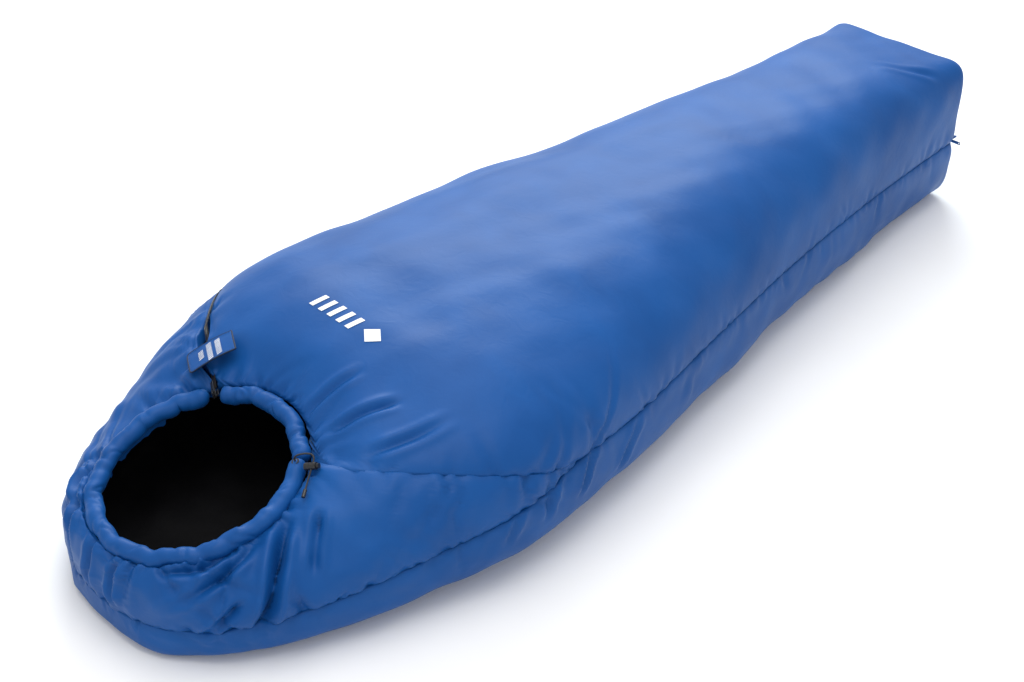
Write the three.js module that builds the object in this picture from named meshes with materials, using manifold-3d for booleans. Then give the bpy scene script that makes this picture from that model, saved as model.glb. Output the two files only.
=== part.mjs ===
// Mummy sleeping bag with a left zip, closed and filled out. Millimetres, +Z up.
// The bag lies along Y: hood towards -Y, foot towards +Y, the sleeper's right at +X.
// Every panel is three nested layers: shell, insulation and lining.
import * as THREE from 'three';
import { mergeVertices } from 'three/addons/utils/BufferGeometryUtils.js';
import Module from 'manifold-3d';

const wasm = await Module();
wasm.setup();

// ---- Driving dimensions -------------------------------------------------------------------
const LENGTH = 2200;
// Pattern stations from the hood end: [distance, half width, height]
const PATTERN = [
  [0, 98, 106], [15, 152, 150], [50, 196, 178], [100, 234, 192], [220, 305, 211], [400, 366, 290],
  [600, 410, 344], [850, 384, 358], [1150, 332, 368], [1500, 267, 374], [1850, 217, 367], [2200, 181, 345],
];
const SEAM_SHARE = 0.439; // the widest line is this share of the height
const TOP_POWER = 0.767; // superellipse power of the top of a section
const FOOT_POWER = 0.312; // the same at the boxy foot
const BOTTOM_POWER = 0.5;
const BOTTOM_PUSH = 1.08; // pushes the bottom past the floor, which then cuts it flat
const FOOT_SQUARING = 1300; // the section turns boxy from this station on
const HEAD_ROUND = 100; // length over which the hood end's underside lifts
const FOOT_ROUND = 14; // radius of the foot's edges
const HEAD_LIFT = 20; // how far the hood end's rim lifts off the floor
const END_BLEND = 150; // stretch over which a layer's offset turns lengthwise

const SHELL = [0, 0.9]; // depth from, depth to
const INSULATION = [1.3, 24];
const LINING = [24.9, 25.7];

const RIM = { x: 0, y: -887, z: 198, a: 171.5, b: 177, radius: 16.5 };
const RIM_TILT = THREE.MathUtils.degToRad(14.1);
const RIM_GAP = 1;
const RIM_SINK = 8; // the panels meet the rim this far above its middle
const RIM_SLOPE = 0.35; // and rise from it at this slope beside the face
const CHEST_SLOPE = 0.4; // and this much more at the chest
const SEAM_ANGLE = 42.8; // where the right seam meets the rim, degrees from +X
const ZIP_ANGLE = 134; // where the zip meets it

const SEAM_GAP = 0.7; // half the gap between sewn panels
const SLOT = 10; // half the slot that the zip fills
const FOLD_X = 135; // the opened quilt folds back over this line
const FOLD_GAP = 0.3;

const COIL = { inner: 1.2, outer: 3.6, top: 3.6, bottom: 6 };
const TAPE = { inner: 3.9, outer: 6.2, top: 4.3, bottom: 5.3 };
const DRAFT_TUBE = { depth: 42, across: 26, thick: 8, from: -480, to: 1020 };

const CORD_RADIUS = 1.5;
const CHANNEL_RADIUS = 3; // of the rim's channel that the cord runs in
const EYELET = { radius: 6.5, hole: 3.4, gap: 0.4, thick: 1.8 };
const CORD_END = { radius: 3.2, length: 14, gap: 0.4 };

// ---- Materials ----------------------------------------------------------------------------
const satin = (colour) => new THREE.MeshStandardMaterial({ color: colour, roughness: 0.42, metalness: 0 });
const matt = (colour) => new THREE.MeshStandardMaterial({ color: colour, roughness: 0.85, metalness: 0 });
const shellCloth = satin(0x1f4f9e);
const liningCloth = matt(0x111216);
const filling = matt(0xe8e8e4);
const zipCloth = matt(0x14151a);
const zipCoil = satin(0x1a1b20);
const blackPlastic = satin(0x101114);
const metal = new THREE.MeshStandardMaterial({ color: 0xb4b6ba, roughness: 0.3, metalness: 1 });

// ---- Small helpers ------------------------------------------------------------------------
const { clamp, lerp } = THREE.MathUtils;
const vec = (x, y, z) => new THREE.Vector3(x, y, z);
const UP = vec(0, 0, 1);

/** Monotone cubic through PATTERN's column at distance s. */
function pattern(s, column) {
  const last = PATTERN.length - 1;
  const at = clamp(s, PATTERN[0][0], PATTERN[last][0]);
  const slope = (i) => (PATTERN[i + 1][column] - PATTERN[i][column]) / (PATTERN[i + 1][0] - PATTERN[i][0]);
  const tangent = (i) => {
    if (i === 0) return slope(0);
    if (i === last) return slope(last - 1);
    const [before, after] = [slope(i - 1), slope(i)];
    return before * after <= 0 ? 0 : (2 * before * after) / (before + after);
  };
  const i = Math.min(PATTERN.findLastIndex((row) => row[0] <= at), last - 1);
  const step = PATTERN[i + 1][0] - PATTERN[i][0];
  const t = (at - PATTERN[i][0]) / step;
  const ends = PATTERN[i][column] * (1 + 2 * t) * (1 - t) ** 2 + PATTERN[i + 1][column] * t * t * (3 - 2 * t);
  return ends + step * t * (1 - t) * (tangent(i) * (1 - t) - tangent(i + 1) * t);
}

/** The bag's cross-section at distance s from the hood end. */
function section(s) {
  const height = pattern(s, 2);
  const headShare = Math.sqrt(1 - clamp(1 - s / HEAD_ROUND, 0, 1) ** 2);
  const intoFoot = clamp((s - (LENGTH - FOOT_ROUND)) / FOOT_ROUND, 0, 1);
  const footCut = FOOT_ROUND * (1 - Math.sqrt(1 - intoFoot ** 2));
  const squaring = clamp((s - FOOT_SQUARING) / (LENGTH - FOOT_SQUARING), 0, 1) ** 2;
  return {
    width: pattern(s, 1) - footCut,
    top: height - footCut,
    seam: SEAM_SHARE * height,
    floor: HEAD_LIFT * (1 - headShare) + footCut,
    power: lerp(TOP_POWER, FOOT_POWER, squaring),
  };
}

/** The rim's plane at y. */
const rimPlane = (y) => RIM.z + (y - RIM.y) * Math.tan(RIM_TILT);

/** Height that the panels reach beside the rim. */
function rimCap(x, y) {
  const [u, v] = [x / (RIM.a + RIM.radius), (y - RIM.y) / ((RIM.b + RIM.radius) * Math.cos(RIM_TILT))];
  const reach = Math.hypot(u, v);
  const chest = Math.max(v / Math.max(reach, 0.01), 0) ** 4;
  const away = Math.max(reach - 1, 0) * (RIM.a + RIM.radius);
  return rimPlane(y) + RIM_SINK + (RIM_SLOPE + CHEST_SLOPE * chest) * away;
}

/** Point of the surface that lies `depth` inside the bag's outside. */
function bodyPoint(s, angle, depth) {
  const { width, top, seam, floor, power } = section(s);
  const [c, q] = [Math.cos(angle), Math.sin(angle)];
  const shape = q >= 0 ? power : BOTTOM_POWER;
  const lengthwise = clamp(1 - s / END_BLEND, 0, 1) - clamp(1 - (LENGTH - s) / END_BLEND, 0, 1);
  const x = (width - depth) * Math.sign(c) * Math.abs(c) ** shape;
  const y = s + depth * lengthwise - LENGTH / 2;
  if (q >= 0) return vec(x, y, Math.min(seam + (top - depth - seam) * q ** shape, rimCap(x, y) - depth));
  return vec(x, y, Math.max(seam - (seam * BOTTOM_PUSH - depth) * Math.abs(q) ** shape, floor + depth));
}

/** Whether a point lies inside the bag's outside. */
function isInside(p) {
  const s = p.y + LENGTH / 2;
  if (s <= 0 || s >= LENGTH || p.z > rimCap(p.x, p.y)) return false;
  const { width, top, seam, floor, power } = section(s);
  if (p.z < floor) return false;
  const across = Math.abs(p.x) / width;
  const [rise, shape] = p.z > seam
    ? [(p.z - seam) / (top - seam), power]
    : [(seam - p.z) / (seam * BOTTOM_PUSH), BOTTOM_POWER];
  return across ** (2 / shape) + rise ** (2 / shape) < 1;
}

/** Where the ray from one point through another leaves the bag. */
function surfacePoint(from, through) {
  let [inside, outside] = [0, 3];
  for (let i = 0; i < 40; i += 1) {
    const middle = (inside + outside) / 2;
    if (isInside(from.clone().lerp(through, middle))) inside = middle;
    else outside = middle;
  }
  return from.clone().lerp(through, inside);
}

// ---- Solids -------------------------------------------------------------------------------
/** A manifold solid from points and triangles, turned so that its faces point out. */
function solidFrom(points, triangles) {
  let volume = 0;
  for (const [a, b, c] of triangles) volume += points[a].dot(points[b].clone().cross(points[c]));
  const facing = volume < 0 ? triangles.map(([a, b, c]) => [a, c, b]) : triangles;
  const mesh = new wasm.Mesh({
    numProp: 3,
    vertProperties: new Float32Array(points.flatMap((p) => p.toArray())),
    triVerts: new Uint32Array(facing.flat()),
  });
  return new wasm.Manifold(mesh);
}

/** Closed loft through rings of points, with a fan over each end. */
function loft(rings) {
  const count = rings[0].length;
  const points = rings.flat();
  const triangles = [];
  for (let i = 0; i + 1 < rings.length; i += 1) {
    for (let j = 0; j < count; j += 1) {
      const [a, b] = [i * count + j, i * count + ((j + 1) % count)];
      triangles.push([a, b, b + count], [a, b + count, a + count]);
    }
  }
  for (const [ring, turned] of [[0, true], [rings.length - 1, false]]) {
    const middle = points.length;
    points.push(rings[ring].reduce((sum, p) => sum.add(p), vec(0, 0, 0)).divideScalar(count));
    for (let j = 0; j < count; j += 1) {
      const pair = [ring * count + j, ring * count + ((j + 1) % count)];
      triangles.push(turned ? [middle, pair[1], pair[0]] : [middle, pair[0], pair[1]]);
    }
  }
  return solidFrom(points, triangles);
}

/** A three.js geometry as a solid. */
function solidOf(geometry) {
  const bare = geometry.clone();
  bare.deleteAttribute('normal');
  bare.deleteAttribute('uv');
  const merged = mergeVertices(bare, 1e-3);
  const { position } = merged.attributes;
  const points = Array.from({ length: position.count }, (_, i) => vec().fromBufferAttribute(position, i));
  const index = Array.from(merged.index.array);
  const triangles = Array.from({ length: index.length / 3 }, (_, i) => index.slice(3 * i, 3 * i + 3));
  return solidFrom(points, triangles.filter(([a, b, c]) => a !== b && b !== c && c !== a));
}

/** Everything behind the plane through a point, seen along its normal. */
function behind(point, normal) {
  const size = 6000;
  const block = new THREE.BoxGeometry(size, size, size).translate(0, 0, -size / 2);
  block.applyQuaternion(new THREE.Quaternion().setFromUnitVectors(UP, normal.clone().normalize()));
  return solidOf(block.translate(point.x, point.y, point.z));
}

/** The largest of a solid's separate bodies. */
function largest(solid) {
  const bodies = solid.decompose();
  return bodies.reduce((best, body) => (body.volume() > best.volume() ? body : best));
}

/** Round bar along a curve. */
function bar(curve, radius, sides, steps) {
  const outline = new THREE.Shape(
    Array.from({ length: sides }, (_, i) => {
      const angle = (2 * Math.PI * i) / sides;
      return new THREE.Vector2(radius * Math.cos(angle), radius * Math.sin(angle));
    }),
  );
  return solidOf(new THREE.ExtrudeGeometry(outline, { steps, extrudePath: curve, bevelEnabled: false }));
}

/** Cylinder from one point towards another. */
function rod(from, to, radius, sides = 20) {
  const along = to.clone().sub(from);
  const shape = new THREE.CylinderGeometry(radius, radius, along.length(), sides);
  shape.applyQuaternion(new THREE.Quaternion().setFromUnitVectors(vec(0, 1, 0), along.clone().normalize()));
  const middle = from.clone().lerp(to, 0.5);
  return solidOf(shape.translate(middle.x, middle.y, middle.z));
}

const group = new THREE.Group();

/** Adds a solid to the bag as a named mesh. */
function add(name, solid, material) {
  const { vertProperties, triVerts } = solid.getMesh();
  const geometry = new THREE.BufferGeometry();
  geometry.setAttribute('position', new THREE.BufferAttribute(vertProperties, 3));
  geometry.setIndex(new THREE.BufferAttribute(triVerts, 1));
  geometry.computeVertexNormals();
  const mesh = new THREE.Mesh(geometry, material);
  mesh.name = name;
  group.add(mesh);
}

// ---- Layers of the bag --------------------------------------------------------------------
const STATIONS = [
  0, 15, 50, 100, 150, 205, 260, 320, 380, 440, 530, 650, 850, 1100, 1350, 1600, 1850, 2050,
  LENGTH - FOOT_ROUND, LENGTH - 4, LENGTH,
];
const TOP_FACETS = 10;
const BOTTOM_FACETS = 6;

function bodySolid(depth) {
  const turns = [
    ...Array.from({ length: TOP_FACETS }, (_, i) => (Math.PI * i) / TOP_FACETS),
    ...Array.from({ length: BOTTOM_FACETS }, (_, i) => Math.PI + (Math.PI * i) / BOTTOM_FACETS),
  ];
  return loft(STATIONS.map((s) => turns.map((angle) => bodyPoint(s, angle, depth))));
}

const layer = ([outer, inner]) => bodySolid(outer).subtract(bodySolid(inner));

// ---- Seam and zip lines -------------------------------------------------------------------
// Guide points, each moved onto the surface along the ray from the inner line behind it
const SIDE_GUIDES = [
  vec(405, -428, 182), vec(391, -265, 166), vec(330, 60, 173), vec(261, 467, 168), vec(186, 1060, 150),
];
const SEAM_GUIDES = [vec(150, -752, 250), vec(238, -728, 256), vec(325, -646, 250), vec(384, -555, 226)];
const ZIP_START = vec(-118, -779, 243);
const ZIP_GUIDES = [vec(-253, -676, 262), vec(-325, -612, 258), vec(-380, -535, 226)];
const FACE_POINT = vec(0, -800, 240); // inside the face opening, where the loop closes
const FOOT_Z = 148;
const INNER_FOOT_Y = 980;
const INNER_HEAD_Y = -600;
const INNER_Z = { head: 100, side: 165 };

/** Point of the inner line that a seam point is drawn from. */
function innerPoint(p, side) {
  const t = clamp((p.y + 780) / 350, 0, 1);
  const height = p.y > LENGTH / 2 - 20 ? FOOT_Z : lerp(INNER_Z.head, INNER_Z.side, t);
  return vec(-5 * side, clamp(p.y, INNER_HEAD_Y, INNER_FOOT_Y), height);
}

/** Points round a foot corner and along the end of the foot to its middle. */
function footGuides(side) {
  const y = LENGTH / 2;
  const corner = [vec(180.9, y - 14, 0), vec(176.9, y - 4.1, 0), vec(167, y, 0)];
  const across = [140, 110, 60, -5].map((x) => vec(x, y, 0));
  return [...corner, ...across].map((p) => vec(side * p.x, p.y, FOOT_Z));
}

/** Stations of one side's line, each with its inner point and its frame. */
function lineStations(guides, side, straight = []) {
  const flowing = new THREE.CatmullRomCurve3(guides, false, 'centripetal').getPoints(24);
  const raw = [...straight, ...flowing, ...footGuides(side)];
  const stations = raw.map((guide, i) => {
    const inner = innerPoint(guide, side);
    return { inner, point: i < straight.length ? guide : surfacePoint(inner, guide) };
  });
  stations.forEach((station, i) => {
    const [before, after] = [stations[Math.max(i - 1, 0)], stations[Math.min(i + 1, stations.length - 1)]];
    station.along = after.point.clone().sub(before.point).normalize();
    const inward = station.inner.clone().sub(station.point).normalize();
    station.up = station.along.clone().cross(inward).multiplyScalar(side).normalize();
    station.into = station.up.clone().cross(station.along).multiplyScalar(side).normalize();
  });
  return stations;
}

const mirrored = (p) => vec(-p.x, p.y, p.z);
const zipStart = surfacePoint(innerPoint(ZIP_START, -1), ZIP_START);
const zipTurn = surfacePoint(innerPoint(ZIP_GUIDES[0], -1), ZIP_GUIDES[0]);
const straightPart = [0, 1, 2, 3, 4, 5].map((i) => zipStart.clone().lerp(zipTurn, i / 6));
const zipGuides = [zipTurn, ...ZIP_GUIDES.slice(1), ...SIDE_GUIDES.map(mirrored)];
const zipLine = lineStations(zipGuides, -1, straightPart);
const seamLine = lineStations([...SEAM_GUIDES, ...SIDE_GUIDES], 1);

// ---- Regions of the panels ----------------------------------------------------------------
const LID = 700;
const OVERSHOOT = 1.25; // the cutting sheet reaches this much past the surface

/** Half of the quilt's region: what lies above the sheet from the inner line to a seam line. */
function quiltHalf(stations, side, gapAt) {
  const start = { ...stations[0], point: FACE_POINT.clone().setX(-5 * side) };
  const rings = [start, ...stations].map((station) => {
    const shift = station.up.clone().multiplyScalar(gapAt(station));
    const low = station.inner.clone().add(shift);
    const edge = station.inner.clone().lerp(station.point, OVERSHOOT).add(shift);
    return [low, edge, edge.clone().setZ(LID), low.clone().setZ(LID)];
  });
  return loft(rings);
}

/** The quilt's region, grown by -1 or shrunk by 1 by half the gap at each seam. */
function quiltRegion(sign) {
  const seamGap = ({ point }) => sign * (point.y > LENGTH / 2 - FOOT_ROUND ? SLOT : SEAM_GAP);
  const right = quiltHalf(seamLine, 1, seamGap);
  const left = quiltHalf(zipLine, -1, () => sign * SLOT);
  return right.add(left).intersect(behind(vec(0, 0, 70), vec(0, 0, -1)));
}

const HOOD_SEAM = { point: vec(0, -1094, 63), normal: vec(0, -0.15, 1).normalize() };
const HOOD_END_Y = -372;
const CROWN_SEAM = { point: vec(150, -900, 0), normal: vec(130, 85, 0).normalize() };

/** Plane moved along its own normal. */
const moved = (plane, by) => plane.point.clone().addScaledVector(plane.normal, by);

/** The hood's region above its low seam, grown or shrunk by the gap. */
function hoodRegion(gap) {
  const above = behind(moved(HOOD_SEAM, gap), HOOD_SEAM.normal.clone().negate());
  return above.intersect(behind(vec(0, HOOD_END_Y - gap, 0), vec(0, 1, 0)));
}

/** Elliptical cutter along the rim's axis. */
function faceCutter() {
  const cutter = new THREE.CylinderGeometry(1, 1, 600, 48).rotateX(Math.PI / 2);
  cutter.scale(RIM.a + RIM.radius + RIM_GAP, RIM.b + RIM.radius + RIM_GAP, 1).rotateX(RIM_TILT);
  const reach = vec(0, -Math.sin(RIM_TILT), Math.cos(RIM_TILT)).multiplyScalar(280);
  return solidOf(cutter.translate(RIM.x + reach.x, RIM.y + reach.y, RIM.z + reach.z));
}

// ---- Panels -------------------------------------------------------------------------------
const quilt = quiltRegion(1);
const quiltAndSlot = quiltRegion(-1);
const hood = hoodRegion(SEAM_GAP);
const hoodAndSeam = hoodRegion(-SEAM_GAP);
const faceHole = faceCutter();
const flapSide = behind(vec(FOLD_X - FOLD_GAP, 0, 0), vec(1, 0, 0));
const fixedSide = behind(vec(FOLD_X + FOLD_GAP, 0, 0), vec(-1, 0, 0));

const PAD_SEAMS = [-660, 0, 560]; // where the base's four pads of wadding meet
const PAD_GAP = 0.4;

function addPanels(kind, depths, material) {
  const whole = layer(depths);
  const top = whole.intersect(quilt).subtract(faceHole);
  const rest = whole.subtract(quiltAndSlot);
  const hoodPart = largest(rest.intersect(hood).subtract(faceHole));
  const base = largest(rest.subtract(hoodAndSeam));
  if (kind === 'insulation') addBasePads(base, material);
  else add(`base_${kind}`, base, material);
  add(`quilt_flap_${kind}`, largest(top.intersect(flapSide)), material);
  add(`quilt_side_${kind}`, largest(top.intersect(fixedSide)), material);
  if (kind === 'shell') addHoodShells(hoodPart, material);
  else add(`hood_${kind}`, hoodPart, material);
}

/** The base's wadding is cut across the bag into four pads. */
function addBasePads(base, material) {
  const names = ['head', 'torso', 'leg', 'foot'];
  names.forEach((name, i) => {
    let pad = base;
    if (i > 0) pad = pad.intersect(behind(vec(0, PAD_SEAMS[i - 1], 0), vec(0, -1, 0)));
    if (i < names.length - 1) pad = pad.intersect(behind(vec(0, PAD_SEAMS[i] - PAD_GAP, 0), vec(0, 1, 0)));
    add(`base_${name}_insulation`, largest(pad), material);
  });
}

/** The hood's shell is cut in three: a crown and two sides. */
function addHoodShells(hoodPart, material) {
  const leftSeam = { point: mirrored(CROWN_SEAM.point), normal: mirrored(CROWN_SEAM.normal) };
  let crown = hoodPart;
  for (const [name, plane] of Object.entries({ right: CROWN_SEAM, left: leftSeam })) {
    const outside = behind(moved(plane, SEAM_GAP), plane.normal.clone().negate());
    add(`hood_${name}_shell`, largest(hoodPart.intersect(outside)), material);
    crown = crown.intersect(behind(moved(plane, -SEAM_GAP), plane.normal));
  }
  add('hood_crown_shell', largest(crown), material);
}

addPanels('shell', SHELL, shellCloth);
addPanels('insulation', INSULATION, filling);
addPanels('lining', LINING, liningCloth);

// ---- Rim of the face opening --------------------------------------------------------------
const rimAxis = vec(0, -Math.sin(RIM_TILT), Math.cos(RIM_TILT));

/** Point on the rim's middle line at an angle from +X, in degrees. */
function rimPoint(degrees) {
  const angle = THREE.MathUtils.degToRad(degrees);
  const chestward = vec(0, Math.cos(RIM_TILT), Math.sin(RIM_TILT)).multiplyScalar(RIM.b * Math.sin(angle));
  return chestward.add(vec(RIM.x + RIM.a * Math.cos(angle), RIM.y, RIM.z));
}

function rimCurve(from, to) {
  const count = Math.ceil((to - from) / 9);
  const points = Array.from({ length: count + 1 }, (_, i) => rimPoint(lerp(from, to, i / count)));
  return new THREE.CatmullRomCurve3(points);
}

const ZIP_END_GAP = 6; // degrees of rim that the zip's slot takes on each side
const SEAM_END_GAP = 1;
const EYELET_ANGLE = 38.5;
const CORD_ANCHOR = ZIP_ANGLE + ZIP_END_GAP + 3;

function addRim() {
  const hoodSpan = [ZIP_ANGLE + ZIP_END_GAP, SEAM_ANGLE - SEAM_END_GAP + 360];
  const quiltSpan = [SEAM_ANGLE + SEAM_END_GAP, ZIP_ANGLE - ZIP_END_GAP];
  const eyelet = rimPoint(EYELET_ANGLE);
  const exit = rod(eyelet, eyelet.clone().addScaledVector(rimAxis, 2 * RIM.radius), CHANNEL_RADIUS, 10);
  const hoodTube = bar(rimCurve(...hoodSpan), RIM.radius, 10, 20);
  const channel = bar(rimCurve(hoodSpan[0] - 2, hoodSpan[1] + 2), CHANNEL_RADIUS, 6, 20);
  add('rim_tube_hood', hoodTube.subtract(channel).subtract(exit), shellCloth);
  add('rim_tube_quilt', bar(rimCurve(...quiltSpan), RIM.radius, 10, 9), shellCloth);
  add('hood_drawcord', bar(rimCurve(CORD_ANCHOR, EYELET_ANGLE + 360 - 1), CORD_RADIUS, 6, 20), blackPlastic);
}
addRim();

// ---- Drawcord tail, eyelet and cord lock --------------------------------------------------
const LOCK = { radius: 6.5, length: 21, bore: 4.7, floor: 2, hole: 12.5, holeRadius: 2.4 };
const BUTTON = { radius: 4.4, from: 7.6, to: 26, travel: 3.5 };
const SPRING = { radius: 3.2, wire: 0.45, turns: 3, from: 2.8, to: 6.9 };
// The tail's route: up out of the eyelet, over the rim, through the lock and along the hood
const TAIL_ROUTE = [
  vec(134.2, -782.9, 236), vec(134.2, -784.9, 244), vec(134.8, -786, 250.5), vec(138, -783.5, 256),
  vec(143.5, -777.5, 258.8), vec(149, -770.5, 259), vec(155.5, -765.5, 257.5), vec(161.5, -767, 254),
  vec(166.1, -773.8, 249.1), vec(170.5, -780, 246.3), vec(174.8, -786.2, 243.6), vec(179.1, -792.3, 240.9),
  vec(183.4, -798.5, 238.2), vec(187.7, -804.6, 235.5), vec(192, -810.8, 232.8),
];
const tailEnd = TAIL_ROUTE.at(-1);
const lockAt = TAIL_ROUTE[8].clone().lerp(TAIL_ROUTE[9], 0.5);
const tailAlong = tailEnd.clone().sub(TAIL_ROUTE[9]).normalize();
const outward = vec(0.83, 0.49, 0.33);
const lockAxis = outward.addScaledVector(tailAlong, -outward.dot(tailAlong)).normalize();

/** Point along the cord lock's barrel, whose cord hole is at LOCK.hole. */
const lockPoint = (distance) => lockAt.clone().addScaledVector(lockAxis, distance - LOCK.hole);

/** Slot for the cord, as two holes and what lies between them. */
function cordSlot(from, to) {
  const across = tailAlong.clone().multiplyScalar(20);
  const hole = (distance) => {
    const middle = lockPoint(distance);
    return rod(middle.clone().sub(across), middle.clone().add(across), LOCK.holeRadius, 8);
  };
  return wasm.Manifold.hull([hole(from), hole(to)]);
}

function addCordLock() {
  const barrel = rod(lockPoint(0), lockPoint(LOCK.length), LOCK.radius, 14);
  const bore = rod(lockPoint(LOCK.floor), lockPoint(LOCK.length + 5), LOCK.bore, 10);
  add('cord_lock_body', barrel.subtract(bore).subtract(cordSlot(LOCK.hole, LOCK.hole)), blackPlastic);
  const button = rod(lockPoint(BUTTON.from), lockPoint(BUTTON.to), BUTTON.radius, 10);
  const slot = cordSlot(LOCK.hole - 0.3, LOCK.hole + BUTTON.travel + 0.3);
  add('cord_lock_button', button.subtract(slot), blackPlastic);
  add('cord_lock_spring', springSolid(), metal);
}

/** Helical wire round the barrel's axis. */
function springSolid() {
  const side = tailAlong;
  const other = lockAxis.clone().cross(side);
  const count = SPRING.turns * 8;
  const points = Array.from({ length: count + 1 }, (_, i) => {
    const angle = (2 * Math.PI * i) / 8;
    return lockPoint(lerp(SPRING.from, SPRING.to, i / count))
      .addScaledVector(side, SPRING.radius * Math.cos(angle))
      .addScaledVector(other, SPRING.radius * Math.sin(angle));
  });
  return bar(new THREE.CatmullRomCurve3(points), SPRING.wire, 5, count);
}

function addDrawcordTail() {
  const eyelet = rimPoint(EYELET_ANGLE);
  const low = eyelet.clone().addScaledVector(rimAxis, RIM.radius + EYELET.gap);
  const high = low.clone().addScaledVector(rimAxis, EYELET.thick);
  const hole = rod(eyelet, eyelet.clone().addScaledVector(rimAxis, 2 * RIM.radius), EYELET.hole, 10);
  add('drawcord_eyelet', rod(low, high, EYELET.radius, 14).subtract(hole), blackPlastic);
  add('drawcord_tail', bar(new THREE.CatmullRomCurve3(TAIL_ROUTE), CORD_RADIUS, 8, 26), blackPlastic);
  const end = tailEnd.clone().addScaledVector(tailAlong, CORD_END.gap);
  const tip = end.clone().addScaledVector(tailAlong, CORD_END.length);
  add('cord_end', rod(end, tip, CORD_END.radius, 12), blackPlastic);
}
addCordLock();
addDrawcordTail();

// ---- Zip ----------------------------------------------------------------------------------
/** Ribbon along a zip line, between two offsets across it and two depths below it. */
function ribbon(stations, across, depths) {
  const corners = [[0, 0], [1, 0], [1, 1], [0, 1]].map(([i, j]) => [across[i], depths[j]]);
  const rings = stations.map(({ point, up, into }) => (
    corners.map(([u, v]) => point.clone().addScaledVector(up, u).addScaledVector(into, v))
  ));
  return loft(rings);
}

/** Station between two others. */
function between(a, b, t) {
  const mix = (key) => a[key].clone().lerp(b[key], t);
  return { point: mix('point'), up: mix('up').normalize(), into: mix('into').normalize(), along: a.along };
}

/** The whole chain's stations, from the rim round to the foot's right corner. */
const footEnd = seamLine.filter(({ point }) => point.y > LENGTH / 2 - 1 && point.x > 20).reverse();
const chain = [...zipLine.slice(0, -1), ...footEnd];

/** The chain's stretch from a distance past its start to where x passes a limit. */
function chainPart(startDistance, fromX, toX) {
  const step = chain[1].point.distanceTo(chain[0].point);
  const first = Math.floor(startDistance / step);
  const begin = between(chain[first], chain[first + 1], startDistance / step - first);
  const foot = (x) => {
    const i = chain.findLastIndex(({ point }) => point.x < x);
    const next = chain[Math.min(i + 1, chain.length - 1)];
    const span = next.point.x - chain[i].point.x;
    const station = span > 0 ? between(chain[i], next, (x - chain[i].point.x) / span) : chain[i];
    return { index: i, station };
  };
  const end = foot(toX);
  if (fromX === null) return [begin, ...chain.slice(first + 1, end.index + 1), end.station];
  const start = foot(fromX);
  return [start.station, ...chain.slice(start.index + 1, end.index + 1), end.station];
}

const SLIDER_PARK = 9; // the parked slider's middle, from the zip's start
const SLIDER = { length: 13, width: 10, plate: 1.3, channel: 4.4, neck: 1.2 };
const ZIP_FOOT_X = 160; // the chain ends here, at the foot's right corner

function addChain() {
  const tape = (sign) => [sign * TAPE.inner, sign * TAPE.outer];
  const coil = (sign) => [sign * COIL.inner, sign * COIL.outer];
  const parts = {
    zip_tape_base: [-1, chainPart(1, null, ZIP_FOOT_X)],
    zip_tape_quilt: [1, chainPart(18, null, FOLD_X - 1)],
    zip_tape_side: [1, chainPart(1, FOLD_X + 1, ZIP_FOOT_X - 18)],
  };
  for (const [name, [sign, stations]] of Object.entries(parts)) {
    add(name, ribbon(stations, tape(sign), [TAPE.top, TAPE.bottom]), zipCloth);
    add(name.replace('tape', 'coil'), ribbon(stations, coil(sign), [COIL.top, COIL.bottom]), zipCoil);
  }
  const draft = zipLine.filter(({ point }) => point.y > DRAFT_TUBE.from && point.y < DRAFT_TUBE.to);
  const { depth, across, thick } = DRAFT_TUBE;
  const outline = Array.from({ length: 8 }, (_, i) => [
    (across / 2) * Math.cos((Math.PI * i) / 4), depth + thick * Math.sin((Math.PI * i) / 4),
  ]);
  add('zip_draft_tube', loft(draft.map(({ point, up, into }) => (
    outline.map(([u, v]) => point.clone().addScaledVector(up, u).addScaledVector(into, v))
  ))), liningCloth);
}
addChain();

// ---- Tab over the top of the zip ----------------------------------------------------------
// Sewn to the quilt at its hinge end, held to the hood by hook and loop at the other
const TAB = { hinge: vec(-150, -690, 296), tip: vec(-190, -762, 257), width: 58, thick: 2.4, round: 8 };
const PATCH = { length: 30, width: 34, thick: 1, inset: 6, gap: 0.3 };

/** Rounded plate in the tab's frame: x from the hinge along the tab, z above it. */
function tabPlate(from, to, width, bottom, thick, round) {
  const [low, high] = [-width / 2, width / 2];
  const outline = new THREE.Shape();
  outline.moveTo(from, low).lineTo(to - round, low);
  outline.absarc(to - round, low + round, round, -Math.PI / 2, 0, false);
  outline.absarc(to - round, high - round, round, 0, Math.PI / 2, false);
  outline.lineTo(from, high).closePath();
  const plate = new THREE.ExtrudeGeometry(outline, { depth: thick, bevelEnabled: false, curveSegments: 4 });
  const along = TAB.tip.clone().sub(TAB.hinge).normalize();
  const across = UP.clone().cross(along).normalize();
  const basis = new THREE.Matrix4().makeBasis(along, across, along.clone().cross(across));
  plate.translate(0, 0, bottom).applyMatrix4(basis.setPosition(TAB.hinge));
  return solidOf(plate);
}

function addTab() {
  const length = TAB.tip.distanceTo(TAB.hinge);
  const [from, to] = [length - PATCH.inset - PATCH.length, length - PATCH.inset];
  const under = -PATCH.gap - PATCH.thick;
  add('tab_flap', tabPlate(0, length, TAB.width, 0, TAB.thick, TAB.round), shellCloth);
  add('tab_hook_patch', tabPlate(from, to, PATCH.width, under, PATCH.thick, 3), zipCloth);
  add('tab_loop_patch', tabPlate(from, to, PATCH.width, 2 * under, PATCH.thick, 3), zipCloth);
}
addTab();

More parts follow.
